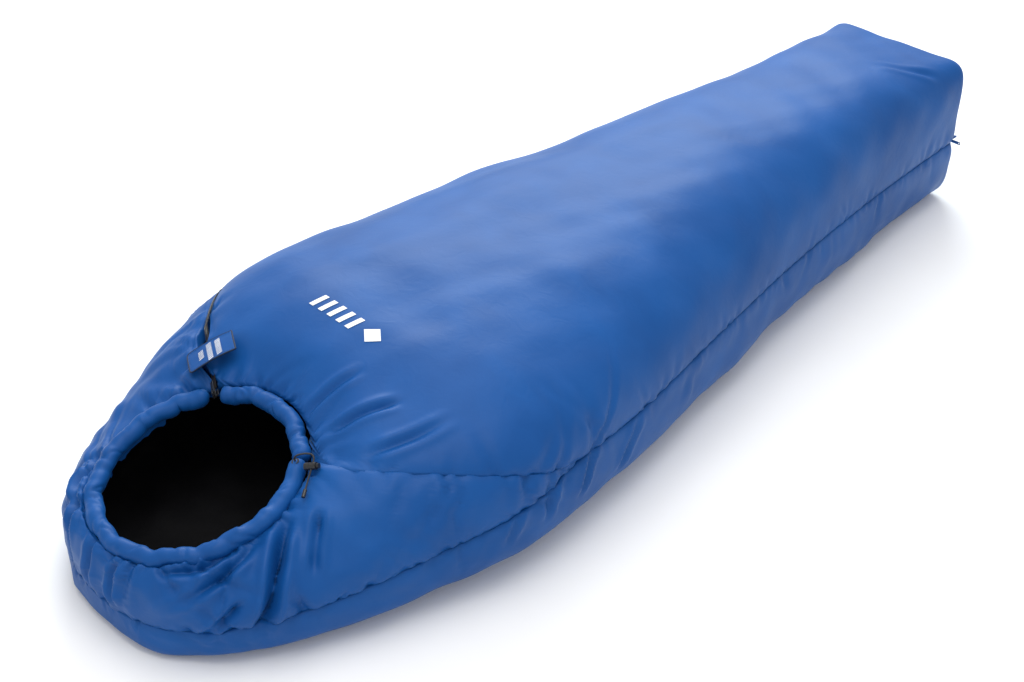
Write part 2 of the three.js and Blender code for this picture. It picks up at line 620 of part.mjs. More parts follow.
/** Box in a station's frame: spans along, across and into the bag. */
function frameBox(frame, along, across, into) {
  const shape = new THREE.BoxGeometry(along[1] - along[0], across[1] - across[0], into[1] - into[0]);
  shape.translate((along[0] + along[1]) / 2, (across[0] + across[1]) / 2, (into[0] + into[1]) / 2);
  const basis = new THREE.Matrix4().makeBasis(frame.along, frame.up, frame.along.clone().cross(frame.up));
  shape.applyMatrix4(basis.setPosition(frame.point));
  return solidOf(shape);
}

/** Slider: two plates over and under the chain, joined by a neck, with a bridge for the pull. */
function sliderSolid(frame) {
  const [half, wide] = [SLIDER.length / 2, SLIDER.width / 2];
  const middle = (COIL.top + COIL.bottom) / 2;
  const [top, bottom] = [middle - SLIDER.channel / 2, middle + SLIDER.channel / 2];
  const box = (along, across, depths) => (
    frameBox(frame, along, across, depths.map((d) => -frame.outward * d).sort((a, b) => a - b))
  );
  const upper = box([-half, half], [-wide, wide], [top - SLIDER.plate, top]);
  const lower = box([-half, half], [-wide, wide], [bottom, bottom + SLIDER.plate]);
  const neck = box([-half, -half + 5], [-SLIDER.neck / 2, SLIDER.neck / 2], [top - 0.5, bottom + 0.5]);
  const height = top - SLIDER.plate;
  const bridge = box([-4, 4], [-1.5, 1.5], [height - 3.4, height + 0.5]);
  const eye = box([-2.4, 2.4], [-3, 3], [height - 2.2, height]);
  return upper.add(lower).add(neck).add(bridge).subtract(eye);
}

/** Pull: a loop through the slider's bridge and a flat tag. */
function pullSolid(frame, length, direction) {
  const middle = (COIL.top + COIL.bottom) / 2;
  const height = middle - SLIDER.channel / 2 - SLIDER.plate;
  const span = (a, b) => [a * direction, b * direction].sort((x, y) => x - y);
  const level = [height - 1.7, height - 0.4];
  const box = (along, across, depths = level) => (
    frameBox(frame, along, across, depths.map((d) => -frame.outward * d).sort((a, b) => a - b))
  );
  const pin = box(span(-0.8, 0.8), [-3.6, 3.6]);
  const arms = [-1, 1].map((side) => box(span(-0.8, 9), [side * 2, side * 3.6].sort((a, b) => a - b)));
  const tag = box(span(8, length), [-3.6, 3.6]);
  const hole = box(span(length - 4.5, length - 2), [-1.4, 1.4], [height - 3, height + 1]);
  return pin.add(arms[0]).add(arms[1]).add(tag).subtract(hole);
}

function addSliders() {
  const start = chain[0];
  const along = zipTurn.clone().sub(zipStart).normalize();
  const side = { along, point: zipStart.clone().addScaledVector(along, SLIDER_PARK) };
  side.up = start.up.clone().addScaledVector(along, -start.up.dot(along)).normalize();
  side.outward = -Math.sign(along.clone().cross(side.up).dot(start.into));
  add('side_zip_slider', sliderSolid(side), blackPlastic);
  add('side_zip_pull', pullSolid(side, 26, 1), blackPlastic);
  const parked = chainPart(1, null, ZIP_FOOT_X - 7.5).at(-1).point;
  const foot = { point: parked, along: vec(-1, 0, 0), up: vec(0, 0, 1) };
  foot.outward = Math.sign(foot.along.clone().cross(foot.up).y);
  add('foot_zip_slider', sliderSolid(foot), metal);
  add('foot_zip_pull', pullSolid(foot, 42, -1), metal);
}
addSliders();

const size = new THREE.Box3().setFromObject(group);
group.position.set(0, -(size.min.y + size.max.y) / 2, 0);

export default group;
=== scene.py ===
"""Looks of the mummy sleeping bag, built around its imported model. Metres, +Z up, hood towards -Y.

The bag's outside is the surface that the model follows. Each panel is a grid of points on it, cut
along the seam, zip and rim lines, and then shaped by seam valleys, gathers, folds and loft.
"""

import math

import bmesh
import bpy
import numpy as np
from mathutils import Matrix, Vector
from mathutils.kdtree import KDTree


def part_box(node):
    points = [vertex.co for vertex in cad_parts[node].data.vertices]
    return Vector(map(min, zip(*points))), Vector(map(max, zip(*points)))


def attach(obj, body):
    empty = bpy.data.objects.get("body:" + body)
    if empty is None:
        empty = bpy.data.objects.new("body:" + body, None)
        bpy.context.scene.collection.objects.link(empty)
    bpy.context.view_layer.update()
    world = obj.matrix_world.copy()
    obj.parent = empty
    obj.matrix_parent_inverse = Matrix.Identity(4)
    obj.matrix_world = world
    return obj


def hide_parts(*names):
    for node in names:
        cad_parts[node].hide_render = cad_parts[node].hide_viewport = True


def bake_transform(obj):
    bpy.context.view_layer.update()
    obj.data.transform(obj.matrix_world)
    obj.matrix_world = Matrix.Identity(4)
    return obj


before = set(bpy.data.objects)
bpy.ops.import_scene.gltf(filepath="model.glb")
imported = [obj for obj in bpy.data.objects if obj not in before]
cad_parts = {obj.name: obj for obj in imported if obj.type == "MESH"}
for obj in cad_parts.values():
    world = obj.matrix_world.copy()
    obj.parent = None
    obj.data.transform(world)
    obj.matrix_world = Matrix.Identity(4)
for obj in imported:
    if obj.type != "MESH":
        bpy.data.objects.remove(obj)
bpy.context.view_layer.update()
MM = 0.001

# ---- Driving dimensions, as in the model ---------------------------------------------------------
LENGTH = 2.2
# Pattern stations from the hood end, in millimetres: [distance, half width, height]
PATTERN = MM * np.array([
    [0, 98, 106], [15, 152, 150], [50, 196, 178], [100, 234, 192], [220, 305, 211], [400, 366, 290],
    [600, 410, 344], [850, 384, 358], [1150, 332, 368], [1500, 267, 374], [1850, 217, 367], [2200, 181, 345],
])
SEAM_SHARE = 0.439
TOP_POWER, FOOT_POWER, BOTTOM_POWER = 0.767, 0.312, 0.5
BOTTOM_PUSH = 1.08
FOOT_SQUARING = 1.3
HEAD_ROUND, HEAD_LIFT, FOOT_ROUND = 0.1, 0.02, 0.014
RIM_CENTRE = np.array([0, -0.887, 0.198])
RIM_A, RIM_B, RIM_RADIUS = 0.1715, 0.177, 0.0165
RIM_TILT = math.radians(14.1)
RIM_SINK, RIM_SLOPE, CHEST_SLOPE = 0.008, 0.35, 0.4
SEAM_ANGLE, ZIP_ANGLE = 42.8, 134.0
HEM_START, HEM_HEIGHT, HEM_SLOPE, HEM_END = -1.094, 0.063, 0.15, -0.372
CROWN_POINT, CROWN_NORMAL = np.array([0.15, -0.9]), np.array([130, 85]) / math.hypot(130, 85)
FOOT_Z = 0.148
THICK = 0.0255  # from the shell to the lining
SEAM_GUIDES = [(0.238, -0.728, 0.256), (0.325, -0.646, 0.250), (0.384, -0.555, 0.226)]
SIDE_GUIDES = [
    (0.405, -0.428, 0.182), (0.391, -0.265, 0.166), (0.330, 0.060, 0.173), (0.261, 0.467, 0.168),
    (0.186, 1.060, 0.150),
]
ZIP_GUIDES = [(-0.253, -0.676, 0.262), (-0.325, -0.612, 0.258), (-0.380, -0.535, 0.226)]
CELL = 0.0055  # spacing of the panels' points

# The model is centred along Y after it is built, and so is everything here
base_low, base_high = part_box("base_shell")
SHIFT = np.array([0, (base_low.y + base_high.y) / 2, 0])


# ---- The bag's outside ---------------------------------------------------------------------------
def pattern(s, column):
    """Monotone cubic through one column of PATTERN."""
    stations, values = PATTERN[:, 0], PATTERN[:, column]
    at = np.clip(s, stations[0], stations[-1])
    i = np.clip(np.searchsorted(stations, at, side="right") - 1, 0, len(stations) - 2)
    slopes = np.diff(values) / np.diff(stations)
    product, total = slopes[:-1] * slopes[1:], slopes[:-1] + slopes[1:]
    inner = np.where(product > 0, 2 * product / np.where(product > 0, total, 1), 0)
    tangents = np.concatenate([slopes[:1], inner, slopes[-1:]])
    step = np.diff(stations)[i]
    t = (at - stations[i]) / step
    ends = values[i] * (1 + 2 * t) * (1 - t) ** 2 + values[i + 1] * t * t * (3 - 2 * t)
    return ends + step * t * (1 - t) * (tangents[i] * (1 - t) - tangents[i + 1] * t)


def section(s):
    """Half width, top, seam height, floor and power of the cross-section at distance s."""
    s = np.asarray(s, float)
    height = pattern(s, 2)
    head_share = np.sqrt(1 - np.clip(1 - s / HEAD_ROUND, 0, 1) ** 2)
    into_foot = np.clip((s - (LENGTH - FOOT_ROUND)) / FOOT_ROUND, 0, 1)
    foot_cut = FOOT_ROUND * (1 - np.sqrt(1 - into_foot**2))
    squaring = np.clip((s - FOOT_SQUARING) / (LENGTH - FOOT_SQUARING), 0, 1) ** 2
    power = TOP_POWER + (FOOT_POWER - TOP_POWER) * squaring
    return (
        pattern(s, 1) - foot_cut, height - foot_cut, SEAM_SHARE * height,
        HEAD_LIFT * (1 - head_share) + foot_cut, power,
    )


def rim_cap(x, y):
    """Height that the panels reach beside the rim."""
    u = x / (RIM_A + RIM_RADIUS)
    v = (y - RIM_CENTRE[1]) / ((RIM_B + RIM_RADIUS) * math.cos(RIM_TILT))
    reach = np.hypot(u, v)
    chest = np.maximum(v / np.maximum(reach, 0.01), 0) ** 4
    away = np.maximum(reach - 1, 0) * (RIM_A + RIM_RADIUS)
    plane = RIM_CENTRE[2] + (y - RIM_CENTRE[1]) * math.tan(RIM_TILT)
    return plane + RIM_SINK + (RIM_SLOPE + CHEST_SLOPE * chest) * away


def is_inside(p):
    """Whether points lie inside the bag's outside."""
    x, y, z = p[..., 0], p[..., 1], p[..., 2]
    s = y + LENGTH / 2
    width, top, seam, floor, power = section(s)
    upper = z > seam
    rise = np.where(upper, (z - seam) / (top - seam), (seam - z) / (seam * BOTTOM_PUSH))
    shape = np.where(upper, power, BOTTOM_POWER)
    round_part = (np.abs(x) / width) ** (2 / shape) + np.abs(rise) ** (2 / shape) < 1
    return round_part & (s > 0) & (s < LENGTH + 1e-9) & (z < rim_cap(x, y)) & (z > floor)


def project(inner, through):
    """Where the rays from inner points through others leave the bag."""
    low, high = np.zeros(through.shape[:-1]), np.full(through.shape[:-1], 3.0)
    for _ in range(32):
        middle = (low + high) / 2
        inside = is_inside(inner + (through - inner) * middle[..., None])
        low, high = np.where(inside, middle, low), np.where(inside, high, middle)
    return inner + (through - inner) * low[..., None]


def smooth(t):
    t = np.clip(t, 0, 1)
    return t * t * (3 - 2 * t)


def unit(v):
    return v / np.maximum(np.linalg.norm(v, axis=-1, keepdims=True), 1e-12)


def resample(line, count):
    """A polyline's points moved to equal spacing."""
    line = np.asarray(line, float)
    steps = np.linalg.norm(np.diff(line, axis=0), axis=1)
    along = np.concatenate([[0], np.cumsum(steps)])
    at = np.linspace(0, along[-1], count)
    return np.stack([np.interp(at, along, line[:, k]) for k in range(3)], axis=1)


def length_of(line):
    return float(np.linalg.norm(np.diff(line, axis=0), axis=1).sum())


def flowing(guides, per_span=24):
    """Centripetal Catmull-Rom curve through guide points."""
    g = [np.array(p, float) for p in guides]
    g = [2 * g[0] - g[1], *g, 2 * g[-1] - g[-2]]
    found = []
    for i in range(1, len(g) - 2):
        p0, p1, p2, p3 = g[i - 1:i + 3]
        knots = np.cumsum([0] + [np.linalg.norm(b - a) ** 0.5 for a, b in ((p0, p1), (p1, p2), (p2, p3))])
        t0, t1, t2, t3 = knots
        for t in np.linspace(t1, t2, per_span, endpoint=False):
            a1 = (p0 * (t1 - t) + p1 * (t - t0)) / (t1 - t0)
            a2 = (p1 * (t2 - t) + p2 * (t - t1)) / (t2 - t1)
            a3 = (p2 * (t3 - t) + p3 * (t - t2)) / (t3 - t2)
            b1 = (a1 * (t2 - t) + a2 * (t - t0)) / (t2 - t0)
            b2 = (a2 * (t3 - t) + a3 * (t - t1)) / (t3 - t1)
            found.append((b1 * (t2 - t) + b2 * (t - t1)) / (t2 - t1))
    return np.array([*found, g[-2]])


# ---- Seam, zip, hem and rim lines ----------------------------------------------------------------
def seam_inner(p, side):
    """The inner points that a seam line's points are drawn from."""
    share = np.clip((p[:, 1] + 0.78) / 0.35, 0, 1)
    height = np.where(p[:, 1] > LENGTH / 2 - 0.02, FOOT_Z, 0.1 + 0.065 * share)
    y = np.clip(p[:, 1], -0.6, 0.98)
    return np.stack([np.full(len(p), -0.005 * side), y, height], axis=1)


def side_line(guides, side):
    """One side's line on the surface, from its first guide to the foot's corner."""
    end = LENGTH / 2
    bends = ((0.1809, 0.014), (0.1769, 0.0041), (0.167, 0.0005))
    corner = [(side * x, end - back, FOOT_Z) for x, back in bends]
    p = np.array([*flowing(guides), *corner])
    return project(seam_inner(p, side), p)


def mirrored(points):
    return [(-x, y, z) for x, y, z in points]


def rim_point(degrees, radius=0.0, lift=0.0):
    """Points on the rim's middle line, or further out and up from it."""
    angle = np.radians(np.asarray(degrees, float))
    x = (RIM_A + radius) * np.cos(angle)
    chestward = (RIM_B + radius) * np.sin(angle)
    y = chestward * math.cos(RIM_TILT) - lift * math.sin(RIM_TILT)
    z = chestward * math.sin(RIM_TILT) + lift * math.cos(RIM_TILT)
    return np.stack([x, y, z], axis=-1) + RIM_CENTRE


def rim_edge(degrees):
    """Where the panels meet the rim."""
    p = rim_point(degrees, RIM_RADIUS - 0.002)
    p[..., 2] = rim_cap(p[..., 0], p[..., 1])
    return p


def hem_line():
    """Where the hood meets the base, from the right shoulder round the head to the left."""
    y = HEM_END - (HEM_END + LENGTH / 2) * np.sin(np.linspace(0, math.pi / 2, 160))
    z = HEM_HEIGHT + HEM_SLOPE * (y - HEM_START)
    width, top, seam, _, power = section(y + LENGTH / 2)
    upper = z > seam
    rise = np.where(upper, (z - seam) / (top - seam), (seam - z) / (seam * BOTTOM_PUSH))
    shape = np.where(upper, power, BOTTOM_POWER)
    x = width * (1 - np.abs(rise) ** (2 / shape)) ** (shape / 2)
    right = np.stack([x, y, z], axis=1)
    left = right[::-1] * [-1, 1, 1]
    return np.concatenate([right, left])


SLIT_OPEN, SLIT_SHUT = 0.0140, 0.0030  # half the zip's gap where it gapes and elsewhere
SLIT_MIDDLE, SLIT_LENGTH = 0.120, 0.068  # where it gapes, from the zip's start


def zip_gap(line):
    """Half the gap beside the zip at each point of its line."""
    along = np.concatenate([[0], np.cumsum(np.linalg.norm(np.diff(line, axis=0), axis=1))])
    return SLIT_SHUT + (SLIT_OPEN - SLIT_SHUT) * np.exp(-(((along - SLIT_MIDDLE) / SLIT_LENGTH) ** 4))


def zip_side(sign):
    """The edge of the panel above (1) or below (-1) the zip."""
    line = zip_middle
    along = unit(np.gradient(line, axis=0))
    inward = unit(seam_inner(line, -1) - line)
    up = unit(np.cross(inward, along))
    up *= np.sign(up[:, 2:3] + 1e-9)
    edge = line + up * sign * zip_gap(line)[:, None]
    inner = seam_inner(edge, -1)
    return project(inner, edge)


seam_right = side_line([tuple(rim_edge(SEAM_ANGLE)), *SEAM_GUIDES, *SIDE_GUIDES], 1)
zip_middle = side_line([tuple(rim_edge(ZIP_ANGLE)), *ZIP_GUIDES, *mirrored(SIDE_GUIDES)], -1)
zip_above, zip_below = zip_side(1), zip_side(-1)
hem = hem_line()


# ---- Panels as grids -----------------------------------------------------------------------------
def turn_about(line, z0):
    """Angle of a line's points about the bag's inner axis, by their y."""
    order = np.argsort(line[:, 1])
    angle = np.arctan2(line[:, 2] - z0, line[:, 0])
    return line[order, 1], np.where(angle < -math.pi / 2, angle + 2 * math.pi, angle)[order]


def foot_rows(start, step):
    """Row places from a start y to the foot, finer round its edge."""
    straight = np.arange(start, LENGTH / 2 - FOOT_ROUND, step)
    bend = LENGTH / 2 - FOOT_ROUND + FOOT_ROUND * np.sin(np.linspace(0, math.pi / 2, 6))
    return np.concatenate([straight[:-1], bend[:-1], [LENGTH / 2 - 1e-5]])


def end_cap(edge, line_ends, rows):
    """Rows that close an end, from the last row to a straight line."""
    share = np.linspace(0, 1, len(edge))[:, None]
    line = np.array(line_ends[0]) * (1 - share) + np.array(line_ends[1]) * share
    return [edge + (line - edge) * w for w in np.linspace(0, 1, rows + 1)[1:]]


def relax(grid, rounds):
    """A grid with its inner points moved towards the middle of their neighbours, round after round."""
    out = grid.copy()
    for _ in range(rounds):
        out[1:-1, 1:-1] = 0.25 * (out[:-2, 1:-1] + out[2:, 1:-1] + out[1:-1, :-2] + out[1:-1, 2:])
    return out


QUILT_AXIS = 0.12
FOOT_CORNER = 0.015  # how far the foot's two upper corners stand out


def quilt_grid():
    """Rows from the rim to the foot and on down the foot's end, columns from the seam to the zip."""
    dense = np.linspace(0, 1, 500)
    rim = rim_edge(SEAM_ANGLE + (ZIP_ANGLE - SEAM_ANGLE) * dense)
    right, left = turn_about(seam_right, QUILT_AXIS), turn_about(zip_above, QUILT_AXIS)

    def share_at(p):
        low, high = np.interp(p[:, 1], *right), np.interp(p[:, 1], *left)
        return (np.arctan2(p[:, 2] - QUILT_AXIS, p[:, 0]) - low) / (high - low)

    rim_share = np.clip(share_at(rim), 0, 1)
    places = foot_rows(rim[:, 1].mean(), CELL)
    v = (places - places[0]) / (places[-1] - places[0])
    columns = int(1.06 / CELL)
    rows = [resample(rim, columns)]
    for share in v[1:]:
        y = rim[:, 1] * (1 - share) + places[-1] * share
        f = rim_share + (dense - rim_share) * smooth(share / 0.22)
        low, high = np.interp(y, *right), np.interp(y, *left)
        angle = low + (high - low) * f
        inner = np.stack([0 * y, y, np.full_like(y, QUILT_AXIS)], axis=1)
        out = inner + np.stack([np.cos(angle), 0 * y, np.sin(angle)], axis=1) * 0.3
        rows.append(resample(project(inner, out), columns))
    grid = np.array(rows)
    weight = smooth(1 - (v - 0.03) / 0.13)[:, None, None]
    relaxed = relax(grid, 60)
    grid = grid + (relaxed - grid) * np.minimum(weight, smooth(v / 0.012)[:, None, None])
    ends = [(side * 0.167, LENGTH / 2, FOOT_Z + SLIT_SHUT) for side in (1, -1)]
    return np.array([*grid, *end_cap(grid[-1], ends, 32)])


def base_grid():
    """Rows from the hood's end to the foot's end, columns from the right edge under to the left."""
    right = np.concatenate([hem[hem[:, 0] > 0], seam_right[seam_right[:, 1] > HEM_END]])
    left = np.concatenate([hem[hem[:, 0] < 0], zip_below[zip_below[:, 1] > HEM_END]])
    head = -LENGTH / 2 + 0.05 * np.linspace(0, 1, 9) ** 2
    places = np.concatenate([head[:-1] + 1e-5, foot_rows(-LENGTH / 2 + 0.05, CELL * 1.15)])
    columns = int(1.1 / (CELL * 1.25))
    dense = np.linspace(0, 1, 500)
    rows = []
    for y in places:
        z0 = 0.05 + 0.06 * float(np.clip((y + 1.1) / 0.12, 0, 1))
        ends = []
        for line in (right, left):
            order = np.argsort(line[:, 1])
            edge = [np.interp(y, line[order, 1], line[order, k]) for k in (0, 2)]
            ends.append(math.atan2(edge[1] - z0, edge[0]))
        low, high = ends[0], ends[1] if ends[1] < 0 else ends[1] - 2 * math.pi
        angle = low + (high - low) * dense
        inner = np.array([0, y, z0]) + np.zeros((len(dense), 3))
        out = inner + np.stack([np.cos(angle), 0 * angle, np.sin(angle)], axis=1) * 0.3
        rows.append(resample(project(inner, out), columns))
    head_end = [(p[0], -LENGTH / 2, HEM_HEIGHT) for p in (rows[0][0], rows[0][-1])]
    foot = [(side * 0.167, LENGTH / 2, FOOT_Z - SLIT_SHUT) for side in (1, -1)]
    front = end_cap(rows[0], head_end, 8)[::-1]
    return np.array([*front, *rows, *end_cap(rows[-1], foot, 26)])


def hood_grid():
    """Rows from the hem to the rim, columns from the right shoulder round the head to the left."""
    columns, rows, dense = int(2.0 / CELL), int(0.31 / CELL), 160
    outer = resample(hem, columns)
    turn = np.linspace(SEAM_ANGLE, ZIP_ANGLE - 360, columns)
    inner_edge = rim_edge(turn)
    u = np.linspace(0, 1, columns)[None, :, None]
    v = np.linspace(0, 1, dense)[:, None, None]
    guide = outer[None] * (1 - v) + inner_edge[None] * v
    for line, share in ((seam_right, u), (zip_below, 1 - u)):
        edge = line[(line[:, 1] < HEM_END)][::-1]
        edge = resample(edge, dense)
        chord = edge[:1] * (1 - v[:, 0]) + edge[-1:] * v[:, 0]
        near = smooth(1 - share / 0.2)
        guide = guide + (edge - chord)[:, None, :] * near
    still = 0 * guide[..., 0]
    anchor = np.stack([still, np.clip(guide[..., 1], -0.93, -0.2), 0.09 + still], axis=-1)
    on = project(anchor, guide)
    return np.stack([resample(on[:, j], rows) for j in range(columns)], axis=1)


def round_head(grid):
    """Rounds the bag's blunt head end in plan."""
    s = grid[..., 1] + LENGTH / 2
    nearness = np.clip(1 - s / 0.15, 0, 1) ** 2
    out = grid.copy()
    out[..., 1] += 0.022 * np.minimum((grid[..., 0] / 0.15) ** 2, 1.5) * nearness
    return out


def normals_of(grid):
    """Unit normals of a grid of points, facing out of the bag."""
    across, along = np.gradient(grid, axis=1), np.gradient(grid, axis=0)
    n = unit(np.cross(across, along))
    middle = np.stack([0 * grid[..., 0], np.clip(grid[..., 1], -0.95, 1.0), 0.1 + 0 * grid[..., 0]], axis=-1)
    if np.median(np.einsum("ijk,ijk->ij", n, grid - middle)) < 0:
        n = -n
    for _ in range(2):
        n[1:-1] = n[1:-1] + 0.5 * (n[:-2] + n[2:])
        n[:, 1:-1] = n[:, 1:-1] + 0.5 * (n[:, :-2] + n[:, 2:])
        n = unit(n)
    return n


# ---- Shaping: seams, gathers, folds --------------------------------------------------------------
def near_line(points, line, spacing=0.003):
    """Distance of each point to a line, and how far along the line its nearest point is."""
    count = max(int(length_of(line) / spacing), 2)
    dense = resample(line, count)
    tree = KDTree(count)
    for i, p in enumerate(dense):
        tree.insert(p, i)
    tree.balance()
    flat = points.reshape(-1, 3)
    found = [tree.find(p)[1:] for p in flat]
    step = length_of(line) / (count - 1)
    along = np.array([f[0] for f in found]) * step
    return np.array([f[1] for f in found]).reshape(points.shape[:-1]), along.reshape(points.shape[:-1])


def ripples(points, size, seed, waves=20):
    """Smooth noise of about unit strength, with features of about that size."""
    rng = np.random.default_rng(seed)
    total = np.zeros(points.shape[:-1])
    for _ in range(waves):
        direction = unit(rng.normal(size=3)) / (size * rng.uniform(0.7, 1.5))
        total += np.sin(points @ direction * 2 * math.pi + rng.uniform(0, 2 * math.pi))
    return total * math.sqrt(2 / waves)


def gathers(distance, along, seed, count, span, width, reach, depth, slant=0.25):
    """Folds that run away from a seam: random places, widths, reaches, depths and slants."""
    rng = np.random.default_rng(seed)
    total = np.zeros(distance.shape)
    for _ in range(count):
        at, w = rng.uniform(*span), rng.uniform(*width)
        far, d, lean = rng.uniform(*reach), rng.uniform(*depth), rng.normal() * slant
        offset = (along - at - lean * distance) / (w * (1 + distance / far))
        fade = smooth(1 - distance / far) * smooth(distance / 0.006 + 0.35)
        dip = np.exp(-(np.abs(offset) ** 1.35))
        sides = 0.4 * np.exp(-((offset - 1.8) ** 2)) + 0.4 * np.exp(-((offset + 1.8) ** 2))
        total += d * (dip - sides) * fade
    return total


def fold(points, guides, width, depth, ridge=0.5):
    """A crease along a given line, with a soft ridge beside it and faded ends."""
    line = flowing(guides, 12)
    distance, along = near_line(points, line)
    whole = length_of(line)
    ends = smooth(along / (0.3 * whole)) * smooth((whole - along) / (0.3 * whole))
    dip = np.exp(-((distance / width) ** 1.4))
    beside = np.exp(-(((distance - 2.2 * width) / (1.3 * width)) ** 2))
    return depth * (ridge * beside - dip) * ends


def valley(distance, depth, width):
    """The dip beside a seam."""
    return -depth * np.exp(-distance / width)


# ---- Meshes --------------------------------------------------------------------------------------
def make(name, points, faces, material):
    """A smooth-shaded mesh object from points of the unshifted bag."""
    mesh = bpy.data.meshes.new(name)
    mesh.from_pydata((np.asarray(points).reshape(-1, 3) + SHIFT).tolist(), [], faces)
    mesh.validate()
    mesh.polygons.foreach_set("use_smooth", [True] * len(mesh.polygons))
    mesh.materials.append(material)
    mesh.update()
    piece = bpy.data.objects.new(name, mesh)
    bpy.context.scene.collection.objects.link(piece)
    return piece


def grid_faces(rows, columns, start=0, turned=False, closed=False):
    """Quads of a grid; closed joins its last column to its first."""
    faces = []
    for i in range(rows - 1):
        for j in range(columns if closed else columns - 1):
            k = (j + 1) % columns
            quad = [start + i * columns + j, start + i * columns + k,
                    start + (i + 1) * columns + k, start + (i + 1) * columns + j]
            faces.append(quad[::-1] if turned else quad)
    return faces


def facing_out(grid, normals):
    """Whether a grid's quads already face along its normals."""
    across, along = grid[1:, :-1] - grid[:-1, :-1], grid[:-1, 1:] - grid[:-1, :-1]
    return np.median(np.einsum("ijk,ijk->ij", np.cross(along, across), normals[:-1, :-1])) > 0


def panel(name, grid, lift, material, lining_material):
    """A padded panel's shell, with its turned-in edges, and its lining."""
    n = normals_of(grid)
    outside = grid + n * lift[..., None]
    turned = not facing_out(grid, n)
    rows, columns = grid.shape[:2]
    points, faces = [outside.reshape(-1, 3)], grid_faces(rows, columns, 0, turned)
    border = [(0, j) for j in range(columns)] + [(i, columns - 1) for i in range(1, rows)]
    border += [(rows - 1, j) for j in range(columns - 2, -1, -1)] + [(i, 0) for i in range(rows - 2, 0, -1)]
    index = np.array([i * columns + j for i, j in border])
    edge, inward = outside.reshape(-1, 3)[index], -n.reshape(-1, 3)[index]
    previous, start = index, rows * columns
    for depth in (0.006, 0.014, THICK - 0.003):
        points.append(edge + inward * depth)
        ring = np.arange(start, start + len(index))
        for a in range(len(index)):
            b = (a + 1) % len(index)
            quad = [int(previous[a]), int(ring[a]), int(ring[b]), int(previous[b])]
            faces.append(quad[::-1] if turned else quad)
        previous, start = ring, start + len(index)
    shell = make(name, np.concatenate(points), faces, material)
    inner = (grid + n * (np.minimum(lift, 0)[..., None] * 0.3 - THICK))[::2, ::2]
    inner = inner + n[::2, ::2] * 0.0015 * ripples(inner, 0.09, 91)[..., None]
    lining = make(name + "_lining", inner, grid_faces(*inner.shape[:2], 0, not turned), lining_material)
    return shell, lining, outside, n


# ---- Materials -----------------------------------------------------------------------------------
def new_material(name):
    material = bpy.data.materials.new(name)
    material.use_nodes = True
    nodes = material.node_tree.nodes
    return material, nodes, material.node_tree.links, nodes["Principled BSDF"]


def bump(nodes, links, height, strength, distance, after=None):
    node = nodes.new("ShaderNodeBump")
    node.inputs["Strength"].default_value = strength
    node.inputs["Distance"].default_value = distance
    links.new(height, node.inputs["Height"])
    if after is not None:
        links.new(after, node.inputs["Normal"])
    return node.outputs["Normal"]


def noise(nodes, links, coordinates, scale, detail=4.0, distortion=0.0):
    node = nodes.new("ShaderNodeTexNoise")
    node.inputs["Scale"].default_value = scale
    node.inputs["Detail"].default_value = detail
    node.inputs["Distortion"].default_value = distortion
    links.new(coordinates, node.inputs["Vector"])
    return node.outputs["Fac"]


def ramp(nodes, links, factor, stops):
    node = nodes.new("ShaderNodeValToRGB")
    elements = node.color_ramp.elements
    for element, (place, colour) in zip(elements, (stops[0], stops[-1])):
        element.position, element.color = place, (*colour, 1)
    for place, colour in stops[1:-1]:
        elements.new(place).color = (*colour, 1)
    links.new(factor, node.inputs["Fac"])
    return node.outputs["Color"]


def weave(nodes, links, coordinates, threads):
    """Height of a plain weave: two crossed sets of threads."""
    heights = []
    for axis in ("X", "Y"):
        node = nodes.new("ShaderNodeTexWave")
        node.bands_direction = axis
        node.inputs["Scale"].default_value = threads
        node.inputs["Distortion"].default_value = 0.6
        node.inputs["Detail"].default_value = 1.0
        links.new(coordinates, node.inputs["Vector"])
        heights.append(node.outputs["Fac"])
    join = nodes.new("ShaderNodeMath")
    join.operation = "MAXIMUM"
    links.new(heights[0], join.inputs[0])
    links.new(heights[1], join.inputs[1])
    return join.outputs["Value"]


def cloth(name, dark, light, roughness, sheen, sheen_tint, crumple, threads=190, specular=0.3):
    """Woven cloth: mottled colour, fine weave, small crumples and a sheen."""
    material, nodes, links, shader = new_material(name)
    coordinates = nodes.new("ShaderNodeTexCoord").outputs["Object"]
    mottle = noise(nodes, links, coordinates, 7.0, 6.0, 0.4)
    links.new(ramp(nodes, links, mottle, [(0.3, dark), (0.7, light)]), shader.inputs["Base Color"])
    small = noise(nodes, links, coordinates, 34.0, 5.0, 1.1)
    normal = bump(nodes, links, small, crumple, 0.004)
    fine = noise(nodes, links, coordinates, 150.0, 3.0, 0.6)
    normal = bump(nodes, links, fine, crumple * 0.6, 0.0008, normal)
    normal = bump(nodes, links, weave(nodes, links, coordinates, threads), 0.12, 0.00018, normal)
    links.new(normal, shader.inputs["Normal"])
    shader.inputs["Roughness"].default_value = roughness
    shader.inputs["Sheen Weight"].default_value = sheen
    shader.inputs["Sheen Roughness"].default_value = 0.3
    shader.inputs["Specular IOR Level"].default_value = specular
    shader.inputs["Sheen Tint"].default_value = (*sheen_tint, 1)
    return material


def hard(name, dark, light, roughness, metallic, scale=260.0):
    """Moulded plastic or metal: slight colour variation and a fine grain."""
    material, nodes, links, shader = new_material(name)
    coordinates = nodes.new("ShaderNodeTexCoord").outputs["Object"]
    grain = noise(nodes, links, coordinates, scale, 5.0, 0.2)
    links.new(ramp(nodes, links, grain, [(0.35, dark), (0.65, light)]), shader.inputs["Base Color"])
    links.new(bump(nodes, links, grain, 0.15, 0.0004), shader.inputs["Normal"])
    shader.inputs["Roughness"].default_value = roughness
    shader.inputs["Metallic"].default_value = metallic
    return material


